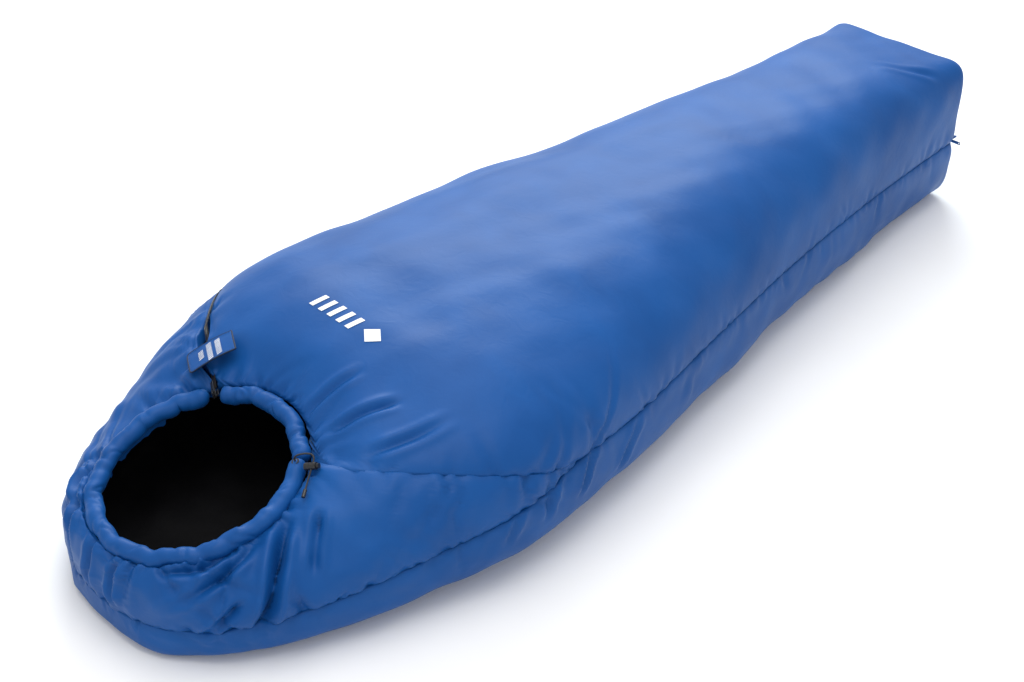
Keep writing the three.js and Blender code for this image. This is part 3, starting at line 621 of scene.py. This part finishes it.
def cord_material():
    """Braid: two crossed sets of slanting strands."""
    material, nodes, links, shader = new_material("braided_cord")
    coordinates = nodes.new("ShaderNodeTexCoord").outputs["Object"]
    strands = weave(nodes, links, coordinates, 420)
    links.new(ramp(nodes, links, strands, [(0.3, (0.006, 0.006, 0.007)), (0.8, (0.03, 0.03, 0.034))]),
              shader.inputs["Base Color"])
    links.new(bump(nodes, links, strands, 0.6, 0.0004), shader.inputs["Normal"])
    shader.inputs["Roughness"].default_value = 0.6
    return material


satin = cloth(
    "satin_shell", (0.003, 0.062, 0.245), (0.005, 0.080, 0.300), 0.47, 0.08, (0.25, 0.55, 1.0), 0.14,
    specular=0.19,
)
black_cloth = cloth(
    "black_lining", (0.0015, 0.0015, 0.002), (0.004, 0.004, 0.005), 0.6, 0.0, (1, 1, 1), 0.30,
    specular=0.12,
)
tape_cloth = cloth(
    "zip_tape_weave", (0.005, 0.005, 0.006), (0.018, 0.017, 0.018), 0.75, 0.1, (0.5, 0.5, 0.5), 0.1, 420,
)
hook_cloth = cloth(
    "hook_and_loop", (0.004, 0.004, 0.005), (0.02, 0.02, 0.022), 0.9, 0.3, (0.5, 0.5, 0.55), 0.9, 300,
)
print_white = cloth("print_white", (0.78, 0.79, 0.82), (0.88, 0.89, 0.92), 0.5, 0.0, (1, 1, 1), 0.05)
teeth_plastic = hard("coil_plastic", (0.010, 0.009, 0.009), (0.035, 0.026, 0.020), 0.32, 0.0)
black_plastic = hard("moulded_plastic", (0.008, 0.008, 0.009), (0.022, 0.022, 0.024), 0.28, 0.0)
zinc = hard("polished_zinc", (0.50, 0.51, 0.53), (0.72, 0.73, 0.75), 0.24, 1.0)
braid = cord_material()
thread = cloth("thread", (0.010, 0.045, 0.16), (0.016, 0.060, 0.20), 0.6, 0.1, (0.5, 0.6, 1.0), 0.05)
edge_cloth = cloth("dark_edge", (0.003, 0.012, 0.040), (0.005, 0.018, 0.055), 0.55, 0.1, (0.4, 0.5, 1.0), 0.1)

# ---- Camera and light ----------------------------------------------------------------------------
CAMERA_AT, CAMERA_TO, LENS = Vector((1.818, -1.952, 1.873)), Vector((0.041, -0.202, 0.15)), 56.25


def add_camera():
    data = bpy.data.cameras.new("camera")
    data.lens, data.sensor_width = LENS, 36
    camera = bpy.data.objects.new("camera", data)
    camera.location = CAMERA_AT
    camera.rotation_euler = (CAMERA_TO - CAMERA_AT).to_track_quat("-Z", "Y").to_euler()
    bpy.context.scene.collection.objects.link(camera)
    bpy.context.scene.camera = camera


def add_light(name, place, aim, size, power, colour=(1, 1, 1)):
    data = bpy.data.lights.new(name, "AREA")
    data.shape, data.size, data.size_y = "RECTANGLE", size[0], size[1]
    data.energy, data.color = power, colour
    light = bpy.data.objects.new(name, data)
    light.location = place
    light.rotation_euler = (Vector(aim) - Vector(place)).to_track_quat("-Z", "Y").to_euler()
    bpy.context.scene.collection.objects.link(light)


def add_studio():
    world = bpy.data.worlds.new("studio")
    world.use_nodes = True
    world.node_tree.nodes["Background"].inputs["Color"].default_value = (1, 1, 1, 1)
    world.node_tree.nodes["Background"].inputs["Strength"].default_value = 0.75
    bpy.context.scene.world = world
    bpy.context.scene.view_settings.view_transform = "Standard"
    add_light("back_softbox", (-2.4, 2.2, 2.6), (-0.1, 0.1, 0.2), (3.2, 2.2), 150, (0.86, 0.95, 1))
    add_light("top_softbox", (0.2, -0.6, 3.0), (0, -0.2, 0.2), (2.0, 2.6), 45)
    add_light("front_fill", (2.6, -3.2, 2.2), (0, -0.6, 0.2), (1.8, 1.8), 8)


def add_floor():
    mesh = bpy.data.meshes.new("floor")
    mesh.from_pydata([(-14, -14, 0), (14, -14, 0), (14, 14, 0), (-14, 14, 0)], [], [(0, 1, 2, 3)])
    material, nodes, links, shader = new_material("pale_floor")
    coordinates = nodes.new("ShaderNodeTexCoord").outputs["Object"]
    grain = noise(nodes, links, coordinates, 3.0)
    links.new(ramp(nodes, links, grain, [(0.3, (0.93, 0.93, 0.93)), (0.7, (0.96, 0.96, 0.96))]),
              shader.inputs["Base Color"])
    shader.inputs["Roughness"].default_value = 0.9
    mesh.materials.append(material)
    floor = bpy.data.objects.new("floor", mesh)
    bpy.context.scene.collection.objects.link(floor)


# ---- Drawcord ------------------------------------------------------------------------------------
CORD_DIAMETER = 0.003
# The tail's route in the model: up out of the eyelet, over the rim, through the lock, along the hood
TAIL_ROUTE = [
    (0.1342, -0.7829, 0.236), (0.1342, -0.7849, 0.244), (0.1348, -0.786, 0.2505), (0.138, -0.7835, 0.256),
    (0.1435, -0.7775, 0.2588), (0.149, -0.7705, 0.259), (0.1555, -0.7655, 0.2575), (0.1615, -0.767, 0.254),
    (0.1661, -0.7738, 0.2491), (0.1705, -0.780, 0.2463), (0.1748, -0.7862, 0.2436), (0.1791, -0.7923, 0.2409),
    (0.1834, -0.7985, 0.2382), (0.1877, -0.8046, 0.2355), (0.192, -0.8108, 0.2328),
]


def add_drawcord():
    line = resample(flowing(TAIL_ROUTE, 4), 40) + SHIFT
    curve = bpy.data.curves.new("drawcord", "CURVE")
    curve.dimensions = "3D"
    curve.bevel_depth, curve.bevel_resolution, curve.use_fill_caps = CORD_DIAMETER / 2, 4, True
    spline = curve.splines.new("POLY")
    spline.points.add(len(line) - 1)
    for point, place in zip(spline.points, line):
        point.co = (*place, 1)
    curve.materials.append(braid)
    cord = bpy.data.objects.new("drawcord", curve)
    bpy.context.scene.collection.objects.link(cord)
    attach(cord, "bag")
    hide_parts("drawcord_tail")


# ---- Panels --------------------------------------------------------------------------------------
CREASE_NARROWING, CREASE_DEEPENING = 0.8, 1.4
# The larger creases: guide points, width, depth
SHOULDER_FOLDS = [
    ([(0.190, -0.835, 0.20), (0.209, -0.869, 0.195), (0.246, -0.916, 0.164), (0.264, -0.951, 0.111),
      (0.247, -0.978, 0.053)], 0.010, 0.018),
    ([(0.188, -0.896, 0.192), (0.198, -0.957, 0.174), (0.185, -1.034, 0.144), (0.153, -1.077, 0.117),
      (0.115, -1.096, 0.067)], 0.008, 0.011),
    ([(0.238, -0.975, 0.135), (0.224, -1.013, 0.098), (0.196, -1.049, 0.06)], 0.008, 0.010),
    ([(0.179, -0.941, 0.184), (0.167, -0.998, 0.172), (0.113, -1.061, 0.16)], 0.008, 0.009),
    ([(0.222, -0.800, 0.214), (0.262, -0.850, 0.190), (0.290, -0.880, 0.150)], 0.008, 0.010),
    ([(-0.22, -0.97, 0.17), (-0.167, -0.975, 0.179), (-0.16, -1.02, 0.167), (-0.112, -1.065, 0.158),
      (-0.087, -1.099, 0.086)], 0.008, 0.010),
    ([(0.05, -1.075, 0.17), (0.04, -1.095, 0.13), (0.05, -1.10, 0.07)], 0.007, 0.008),
    ([(-0.03, -1.07, 0.17), (-0.02, -1.095, 0.12), (-0.03, -1.10, 0.06)], 0.007, 0.007),
]
SIDE_FOLDS = [
    ([(0.323, -0.662, 0.244), (0.352, -0.723, 0.173), (0.36, -0.74, 0.13)], 0.009, 0.011),
    ([(0.359, -0.609, 0.238), (0.375, -0.658, 0.169), (0.378, -0.68, 0.11)], 0.008, 0.009),
    ([(0.384, -0.566, 0.228), (0.390, -0.617, 0.12)], 0.008, 0.009),
    ([(0.400, -0.513, 0.217), (0.399, -0.57, 0.086)], 0.008, 0.009),
    ([(0.405, -0.421, 0.178), (0.408, -0.46, 0.17), (0.408, -0.48, 0.097)], 0.008, 0.009),
    ([(0.40, -0.33, 0.19), (0.402, -0.37, 0.15), (0.40, -0.40, 0.09)], 0.007, 0.007),
    ([(0.385, -0.20, 0.18), (0.39, -0.25, 0.12), (0.385, -0.28, 0.07)], 0.008, 0.008),
    ([(0.36, 0.02, 0.19), (0.365, -0.03, 0.13), (0.36, -0.06, 0.08)], 0.008, 0.007),
]
CHEST_FOLDS = [
    ([(0.06, -0.716, 0.249), (0.075, -0.66, 0.29), (0.10, -0.60, 0.32)], 0.008, 0.006),
    ([(0.13, -0.729, 0.254), (0.16, -0.67, 0.29), (0.20, -0.60, 0.31)], 0.008, 0.007),
    ([(0.22, -0.72, 0.26), (0.26, -0.63, 0.28), (0.28, -0.55, 0.29)], 0.009, 0.007),
    ([(0.04, 0.90, 0.368), (0.10, 0.95, 0.362), (0.17, 1.02, 0.330)], 0.010, 0.004),
]


# Gathers: the line they leave, seed, count, ranges of place along it, width, reach and depth, slant
QUILT_GATHERS = [
    ("seam", 11, 95, (0.0, 2.0), (0.004, 0.010), (0.02, 0.09), (-0.0030, 0.0015)),
    ("seam", 12, 12, (0.33, 0.62), (0.006, 0.012), (0.10, 0.22), (-0.0060, 0.001), 0.5),
    ("zip", 13, 80, (0.0, 2.0), (0.004, 0.010), (0.02, 0.08), (-0.0028, 0.0015)),
    ("rim", 14, 22, (0.0, 0.32), (0.005, 0.010), (0.05, 0.16), (-0.0060, 0.001), 0.4),
    ("rim", 15, 45, (0.0, 0.32), (0.0025, 0.005), (0.015, 0.04), (-0.0035, 0.0), 0.6),
    ("seam", 16, 160, (0.0, 2.0), (0.0025, 0.005), (0.01, 0.03), (-0.0025, 0.0), 0.6),
    ("zip", 17, 70, (0.0, 0.6), (0.0025, 0.005), (0.01, 0.04), (-0.0035, 0.0), 0.6),
]
BASE_GATHERS = [
    ("hem", 23, 60, (0.0, 2.0), (0.005, 0.011), (0.03, 0.10), (-0.0065, 0.0010), 0.5),
    ("hem", 26, 150, (0.0, 2.0), (0.0025, 0.005), (0.01, 0.03), (-0.0030, 0.0), 0.6),
    ("seam", 27, 110, (0.0, 1.6), (0.0025, 0.005), (0.01, 0.03), (-0.0025, 0.0), 0.6),
    ("seam", 24, 70, (0.0, 1.6), (0.004, 0.010), (0.02, 0.10), (-0.0030, 0.0015)),
    ("zip", 25, 70, (0.0, 1.6), (0.004, 0.010), (0.02, 0.10), (-0.0030, 0.0015)),
]
HOOD_GATHERS = [
    ("seam", 33, 36, (0.0, 0.6), (0.005, 0.012), (0.04, 0.20), (-0.0060, 0.002), 0.35),
    ("zip", 34, 36, (0.0, 0.6), (0.005, 0.012), (0.04, 0.16), (-0.0060, 0.002), 0.35),
    ("rim", 35, 44, (0.0, 0.95), (0.005, 0.010), (0.05, 0.15), (-0.0075, 0.001), 0.6),
    ("rim", 37, 110, (0.0, 0.95), (0.0025, 0.005), (0.015, 0.045), (-0.0040, 0.0), 0.7),
    ("hem", 36, 50, (0.0, 2.0), (0.005, 0.010), (0.03, 0.11), (-0.0070, 0.001), 0.5),
    ("hem", 38, 150, (0.0, 2.0), (0.0025, 0.005), (0.01, 0.035), (-0.0035, 0.0), 0.7),
]


def gathered(rows, lines):
    """The sum of the gathers in a table; lines gives distance and place for each named line."""
    return sum(gathers(*lines[name], *numbers) for name, *numbers in rows)


def folds(points, some):
    """The sum of the creases in a list."""
    return sum(
        fold(points, guides, CREASE_NARROWING * width, CREASE_DEEPENING * depth)
        for guides, width, depth in some
    )


def add_quilt():
    grid = quilt_grid()
    from_seam, along_seam = near_line(grid, seam_right)
    from_zip, along_zip = near_line(grid, zip_above)
    rim = rim_edge(np.linspace(SEAM_ANGLE, ZIP_ANGLE, 80))
    from_rim, along_rim = near_line(grid, rim)
    lift = 0.0022 * ripples(grid, 0.30, 1) + 0.0008 * ripples(grid, 0.10, 2)
    lift *= smooth(np.minimum(np.minimum(from_seam, from_zip), from_rim) / 0.08)
    lift += valley(from_seam, 0.007, 0.009) + valley(from_zip, 0.007, 0.008) + valley(from_rim, 0.004, 0.012)
    lines = {"seam": (from_seam, along_seam), "zip": (from_zip, along_zip), "rim": (from_rim, along_rim)}
    lift += gathered(QUILT_GATHERS, lines)
    lift += folds(grid, CHEST_FOLDS)
    for side in (1, -1):
        from_corner = np.linalg.norm(grid - [0.176 * side, LENGTH / 2, 0.340], axis=-1)
        lift += FOOT_CORNER * np.exp(-((from_corner / 0.045) ** 1.5))
    shell, lining, outside, n = panel("quilt", grid, lift, satin, black_cloth)
    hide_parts("quilt_flap_shell", "quilt_flap_insulation",
                "quilt_side_shell", "quilt_side_insulation")
    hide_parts("quilt_flap_lining", "quilt_side_lining")
    for piece, name in ((shell, "shell_fabric"), (lining, "lining_fabric")):
        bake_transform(piece)
    return outside, n


def add_base():
    grid = round_head(base_grid())
    from_hem, along_hem = near_line(grid, round_head(hem))
    from_seam, along_seam = near_line(grid, seam_right[seam_right[:, 1] > HEM_END])
    from_zip, along_zip = near_line(grid, zip_below[zip_below[:, 1] > HEM_END])
    above_floor = smooth((grid[..., 2] - 0.004) / 0.03)
    edge = np.minimum(np.minimum(from_seam, from_zip), from_hem)
    lift = (0.0018 * ripples(grid, 0.22, 21) + 0.0009 * ripples(grid, 0.07, 22)) * smooth(edge / 0.05)
    lift += valley(from_seam, 0.006, 0.008) + valley(from_zip, 0.006, 0.008) + valley(from_hem, 0.007, 0.009)
    lines = {"seam": (from_seam, along_seam), "zip": (from_zip, along_zip), "hem": (from_hem, along_hem)}
    lift += gathered(BASE_GATHERS, lines)
    lift += folds(grid, SHOULDER_FOLDS + SIDE_FOLDS)
    lift *= above_floor
    shell, lining, _, _ = panel("base", grid, lift, satin, black_cloth)
    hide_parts("base_shell",
                *(f"base_{part}_insulation" for part in ("head", "torso", "leg", "foot")))
    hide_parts("base_lining")
    for piece, name in ((shell, "shell_fabric"), (lining, "lining_fabric")):
        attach(piece, "bag")


def crown_seams(grid):
    """Distance of the hood's points to its two crown seams."""
    found = []
    for side in (1, -1):
        flat = np.stack([grid[..., 0] * side, grid[..., 1]], axis=-1) - CROWN_POINT
        found.append(np.where(grid[..., 0] * side > 0.02, np.abs(flat @ CROWN_NORMAL), 1.0))
    return np.minimum(*found)


def add_hood():
    grid = round_head(hood_grid())
    from_hem, along_hem = near_line(grid, round_head(hem))
    from_seam, along_seam = near_line(grid, seam_right[seam_right[:, 1] < HEM_END + 0.05])
    from_zip, along_zip = near_line(grid, zip_below[zip_below[:, 1] < HEM_END + 0.05])
    rim = rim_edge(np.linspace(SEAM_ANGLE, ZIP_ANGLE - 360, 200))
    from_rim, along_rim = near_line(grid, rim)
    from_crown = crown_seams(grid)
    edge = np.minimum(np.minimum(from_seam, from_zip), np.minimum(from_rim, from_hem))
    lift = (0.0025 * ripples(grid, 0.16, 31) + 0.0012 * ripples(grid, 0.06, 32)) * smooth(edge / 0.06)
    lift += valley(from_seam, 0.007, 0.009) + valley(from_zip, 0.007, 0.008)
    lift += valley(from_rim, 0.009, 0.012) + valley(from_hem, 0.008, 0.008) + valley(from_crown, 0.006, 0.005)
    lines = {
        "seam": (from_seam, along_seam), "zip": (from_zip, along_zip), "rim": (from_rim, along_rim),
        "hem": (from_hem, along_hem),
    }
    lift += gathered(HOOD_GATHERS, lines)
    lift += folds(grid, SHOULDER_FOLDS)
    shell, lining, _, _ = panel("hood", grid, lift, satin, black_cloth)
    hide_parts("hood_crown_shell", "hood_right_shell", "hood_left_shell", "hood_insulation")
    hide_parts("hood_lining")
    for piece, name in ((shell, "shell_fabric"), (lining, "lining_fabric")):
        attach(piece, "bag")


# ---- Rim -----------------------------------------------------------------------------------------
def rim_tube(name, first, last, seed):
    """Padded tube along the rim with small twisted puckers and rounded ends."""
    around, spacing = 40, 0.003
    arc = math.radians(last - first) * (RIM_A + RIM_B) / 2
    count = int(arc / spacing)
    share = np.linspace(0, 1, count)
    middle = rim_point(first + (last - first) * share)
    middle = middle + 0.0013 * np.stack([ripples(middle, 0.035, seed + k, 9) for k in (20, 21, 22)], axis=1)
    along = unit(np.gradient(middle, axis=0))
    up = np.array([0, -math.sin(RIM_TILT), math.cos(RIM_TILT)])
    out = unit(np.cross(along, up))
    turn = np.linspace(0, 2 * math.pi, around, endpoint=False)
    place = share[:, None] * arc
    twist = place / 0.011 + 1.3 * turn[None, :]
    rng = np.random.default_rng(seed)
    swell = np.interp(place[:, 0], np.linspace(0, arc, 60), rng.uniform(-1, 1, 60))[:, None]
    lumps = 0.03 * np.sin(place / 0.021 + 2 * turn[None, :] + seed)
    lumps = lumps + 0.03 * np.sin(place / 0.013 - turn[None, :])
    radius = RIM_RADIUS * (0.96 + 0.05 * np.sin(twist) * swell + lumps)
    crease = np.zeros_like(radius)
    for _ in range(int(arc / 0.011)):
        at, lean = rng.uniform(0, arc), rng.uniform(-0.020, 0.020)
        side, wide = rng.uniform(0, 2 * math.pi), rng.uniform(0.5, 1.1)
        nearness = np.exp(-(((np.angle(np.exp(1j * (turn[None, :] - side)))) / wide) ** 2))
        offset = (place - at - lean * np.sin(turn[None, :] - side)) / rng.uniform(0.003, 0.006)
        crease += rng.uniform(0.0012, 0.0050) * np.exp(-(np.abs(offset) ** 1.3)) * nearness
    radius = radius - crease
    ends = np.sqrt(np.clip(1 - (1 - np.minimum(place, arc - place) / (0.8 * RIM_RADIUS)) ** 2, 0.02, 1))
    ends = np.where(np.minimum(place, arc - place) < 0.8 * RIM_RADIUS, ends, 1)
    radius = radius * ends
    ring = out[:, None] * np.cos(turn)[None, :, None] + up[None, None] * np.sin(turn)[None, :, None]
    points = middle[:, None] + ring * radius[..., None]
    faces = grid_faces(count, around, closed=True, turned=True)
    flat = points.reshape(-1, 3)
    for row, turned in ((0, False), (count - 1, True)):
        cap = [row * around + j for j in range(around)]
        faces.append(cap[::-1] if turned else cap)
    tube = make(name, flat, faces, satin)
    return tube


def add_rim():
    hood_tube = rim_tube("rim_hood", ZIP_ANGLE + 3.0, SEAM_ANGLE + 359.8, 5)
    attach(hood_tube, "bag")
    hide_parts("rim_tube_hood")
    quilt_tube = rim_tube("rim_quilt", SEAM_ANGLE + 0.2, ZIP_ANGLE - 3.0, 6)
    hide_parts("rim_tube_quilt")
    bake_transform(quilt_tube)


# ---- Tab over the zip ----------------------------------------------------------------------------
TAB_HINGE, TAB_TIP, TAB_WIDTH = np.array([-0.150, -0.690, 0.296]), np.array([-0.190, -0.762, 0.257]), 0.058
TAB_ROUND, TAB_LENGTH = 0.008, 0.09


def tab_frame():
    """The tab's directions: along it, across it and out of its face."""
    along = unit(TAB_TIP - TAB_HINGE)
    across = unit(np.cross([0, 0, 1], along))
    return along, across, np.cross(along, across)


def tab_place(along, across, height):
    """Points of the tab from its own coordinates, with its slight curl."""
    a, b, c = tab_frame()
    share = along / TAB_LENGTH
    curl = 0.004 * np.sin(share * math.pi) + 0.0022 * np.maximum(share - 0.6, 0) - 0.9 * across**2
    return TAB_HINGE + along[..., None] * a + across[..., None] * b + (height + curl)[..., None] * c


def tab_outline(inset, count=16):
    """Rounded outline of the tab, from the hinge's one corner round the tip to the other."""
    long, half, r = float(np.linalg.norm(TAB_TIP - TAB_HINGE)), TAB_WIDTH / 2, TAB_ROUND
    turn = np.linspace(-math.pi / 2, 0, count)
    corner = np.stack([long - r + np.cos(turn) * (r - inset), -half + r + np.sin(turn) * (r - inset)], axis=1)
    flat = np.concatenate([[[inset, -half + inset]], corner, corner[::-1] * [1, -1], [[inset, half - inset]]])
    return np.column_stack([flat, np.zeros(len(flat))])


def add_tab():
    """The tab's cloth, its bound edge and three rows of plain marks."""
    edge = resample(np.concatenate([tab_outline(0.0), tab_outline(0.0)[:1]]), 121)[:-1]
    middle = edge.mean(axis=0)
    rings, heights = [], []
    for share, height in ((0.0, 0), (0.5, 0), (0.9, 0), (0.97, 0.0004), (1.0, 0.0012), (0.97, 0.002),
                          (0.93, 0.0024), (0.87, 0.0019), (0.6, 0.0021), (0.3, 0.0021), (0.0, 0.0021)):
        rings.append(middle + (edge - middle) * max(share, 0.001))
        heights.append(np.full(len(edge), height))
    flat, up = np.array(rings), np.array(heights)
    points = tab_place(flat[..., 0], flat[..., 1], up)
    cloth_piece = make("tab", points, grid_faces(len(rings), len(edge), closed=True, turned=True), satin)
    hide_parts("tab_flap")
    strokes, faces = [], []
    rng = np.random.default_rng(8)
    for row, (first, last) in enumerate(((-0.021, 0.019), (-0.022, 0.023), (-0.012, 0.012))):
        at = first
        while at < last:
            wide = rng.uniform(0.0014, 0.0026)
            low, high = 0.024 + row * 0.017, 0.034 + row * 0.017
            corners = [(low, at), (low, at + wide), (high, at + wide + 0.003), (high, at + 0.003)]
            faces.append([len(strokes) + k for k in range(4)])
            strokes += corners
            at += wide + 0.0024
    flat = np.array(strokes)
    places = tab_place(flat[:, 0], flat[:, 1], np.full(len(flat), 0.0026))
    marks = make("tab_marks", places, faces, print_white)
    line = np.concatenate([tab_outline(0.0008), tab_outline(0.0008)[:1]])
    line = resample(line, 160)[:-1]
    places = tab_place(line[:, 0], line[:, 1], np.full(len(line), 0.0012))
    binding = tube("tab_binding", places, 0.0016, edge_cloth)
    line = resample(tab_outline(0.0045), 90)
    stitches("tab_stitches", tab_place(line[:, 0], line[:, 1], np.full(len(line), 0.0023)), "tab")
    for piece in (cloth_piece, marks, binding):
        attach(piece, "tab")


def tube(name, line, radius, material, around=10):
    """A closed tube round a closed line."""
    along = unit(np.roll(line, -1, axis=0) - np.roll(line, 1, axis=0))
    side = unit(np.cross(along, [0.01, 0.02, 1]))
    up = np.cross(side, along)
    turn = np.linspace(0, 2 * math.pi, around, endpoint=False)
    ring = side[:, None] * np.cos(turn)[None, :, None] + up[:, None] * np.sin(turn)[None, :, None]
    points = line[:, None] + ring * radius
    points = np.concatenate([points, points[:1]])
    return make(name, points, grid_faces(len(points), around, closed=True), material)


def stitches(name, line, body, radius=0.0003):
    """Short threads along a line, one for each pair of its points."""
    points, faces = [], []
    for k in range(0, len(line) - 1, 2):
        a, b = line[k], line[k + 1]
        along = unit(b - a)
        side = unit(np.cross(along, [0.01, 0.02, 1])) * radius
        up = unit(np.cross(side, along)) * radius
        start = len(points)
        for end in (a, b):
            points += [end + side, end + up, end - side, end - up]
        faces += [[start + i, start + (i + 1) % 4, start + 4 + (i + 1) % 4, start + 4 + i] for i in range(4)]
        faces += [[start + 3, start + 2, start + 1, start], [start + 4, start + 5, start + 6, start + 7]]
    piece = make(name, np.array(points), faces, thread)
    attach(piece, body)


# ---- Plain mark on the chest ---------------------------------------------------------------------
def add_chest_mark(outside, normals):
    """Slanted bars and a lozenge, printed on the quilt above the face."""
    near = outside[:160].reshape(-1, 3)
    facing = normals[:160].reshape(-1, 3)
    keep = (np.abs(near[:, 0]) < 0.16) & (np.abs(near[:, 1] + 0.545) < 0.08)
    near, facing = near[keep], facing[keep]

    def on_quilt(flat):
        lifted = []
        for p in flat:
            gap = np.linalg.norm(near[:, :2] - p, axis=1)
            best = np.argsort(gap)[:6]
            weight = 1 / (gap[best] + 0.0008) ** 2
            slope = facing[best, :2] / facing[best, 2:]
            height = near[best, 2] - np.sum(slope * (p - near[best, :2]), axis=1)
            lifted.append([*p, float(np.sum(height * weight) / weight.sum()) + 0.0009])
        return np.array(lifted)

    points, faces = [], []
    shapes = [[(-0.100 + 0.024 * k, -0.561), (-0.089 + 0.024 * k, -0.561), (-0.081 + 0.024 * k, -0.529),
               (-0.092 + 0.024 * k, -0.529)] for k in range(5)]
    shapes += [[(0.030, -0.545), (0.052, -0.563), (0.074, -0.545), (0.052, -0.527)]]
    steps = 7
    for a, b, c, d in np.array(shapes):
        u, v = np.meshgrid(np.linspace(0, 1, steps), np.linspace(0, 1, steps))
        u, v = u[..., None], v[..., None]
        patch = a * (1 - u) * (1 - v) + b * u * (1 - v) + c * u * v + d * (1 - u) * v
        faces += grid_faces(steps, steps, len(points))
        points += on_quilt(patch.reshape(-1, 2)).tolist()
    mark = make("chest_mark", np.array(points), faces, print_white)
    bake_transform(mark)


# ---- Soft pieces by the zip ----------------------------------------------------------------------
def softened(name, nodes, longest, height, size, material):
    """Cloth made from the model's own solids: cut finer and rippled."""
    points, faces = [], []
    for node_name in nodes:
        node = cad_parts[node_name]
        work = bmesh.new()
        work.from_mesh(node.data)
        bmesh.ops.transform(work, matrix=node.matrix_world, verts=work.verts)
        bmesh.ops.remove_doubles(work, verts=work.verts, dist=1e-6)
        for _ in range(6):
            long_edges = [e for e in work.edges if e.calc_length() > longest]
            if not long_edges:
                break
            bmesh.ops.subdivide_edges(work, edges=long_edges, cuts=1, use_grid_fill=False)
            bmesh.ops.triangulate(work, faces=work.faces)
        work.normal_update()
        places = np.array([v.co for v in work.verts])
        facing = np.array([v.normal for v in work.verts])
        places = places + facing * (height * (ripples(places, size, 51) - 0.6))[:, None]
        work.verts.index_update()
        start = len(points)
        faces += [[start + v.index for v in f.verts] for f in work.faces]
        points += (places - SHIFT).tolist()
        work.free()
    piece = make(name, np.array(points), faces, material)
    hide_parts(*nodes)
    return piece


def add_zip_cloth():
    """Both zip tapes and the padded draft tube behind them."""
    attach(softened("zip_tape_lower", ["zip_tape_base"], 0.012, 0.0002, 0.02, tape_cloth), "bag")
    upper = softened("zip_tape_upper", ["zip_tape_quilt", "zip_tape_side"],
                     0.012, 0.0002, 0.02, tape_cloth)
    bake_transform(upper)
    draft = softened("draft_tube", ["zip_draft_tube"], 0.010, 0.0010, 0.03, black_cloth)
    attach(draft, "bag")


# ---- Finish of the hard pieces -------------------------------------------------------------------
def finish_nodes():
    """Materials for the model's own nodes that stay."""
    looks = {
        "hood_drawcord": braid, "drawcord_eyelet": black_plastic, "cord_end": black_plastic,
        "cord_lock_body": black_plastic, "cord_lock_button": black_plastic, "cord_lock_spring": zinc,
        "side_zip_slider": black_plastic, "side_zip_pull": black_plastic,
        "foot_zip_slider": zinc, "foot_zip_pull": zinc,
        "zip_coil_base": teeth_plastic, "zip_coil_quilt": teeth_plastic, "zip_coil_side": teeth_plastic,
        "tab_hook_patch": hook_cloth, "tab_loop_patch": hook_cloth,
    }
    for name, material in looks.items():
        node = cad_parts[name]
        node.data.materials.clear()
        node.data.materials.append(material)


add_camera()
add_studio()
add_floor()
add_drawcord()
quilt_outside, quilt_normals = add_quilt()
add_base()
add_hood()
add_rim()
add_tab()
add_zip_cloth()
add_chest_mark(quilt_outside, quilt_normals)
finish_nodes()
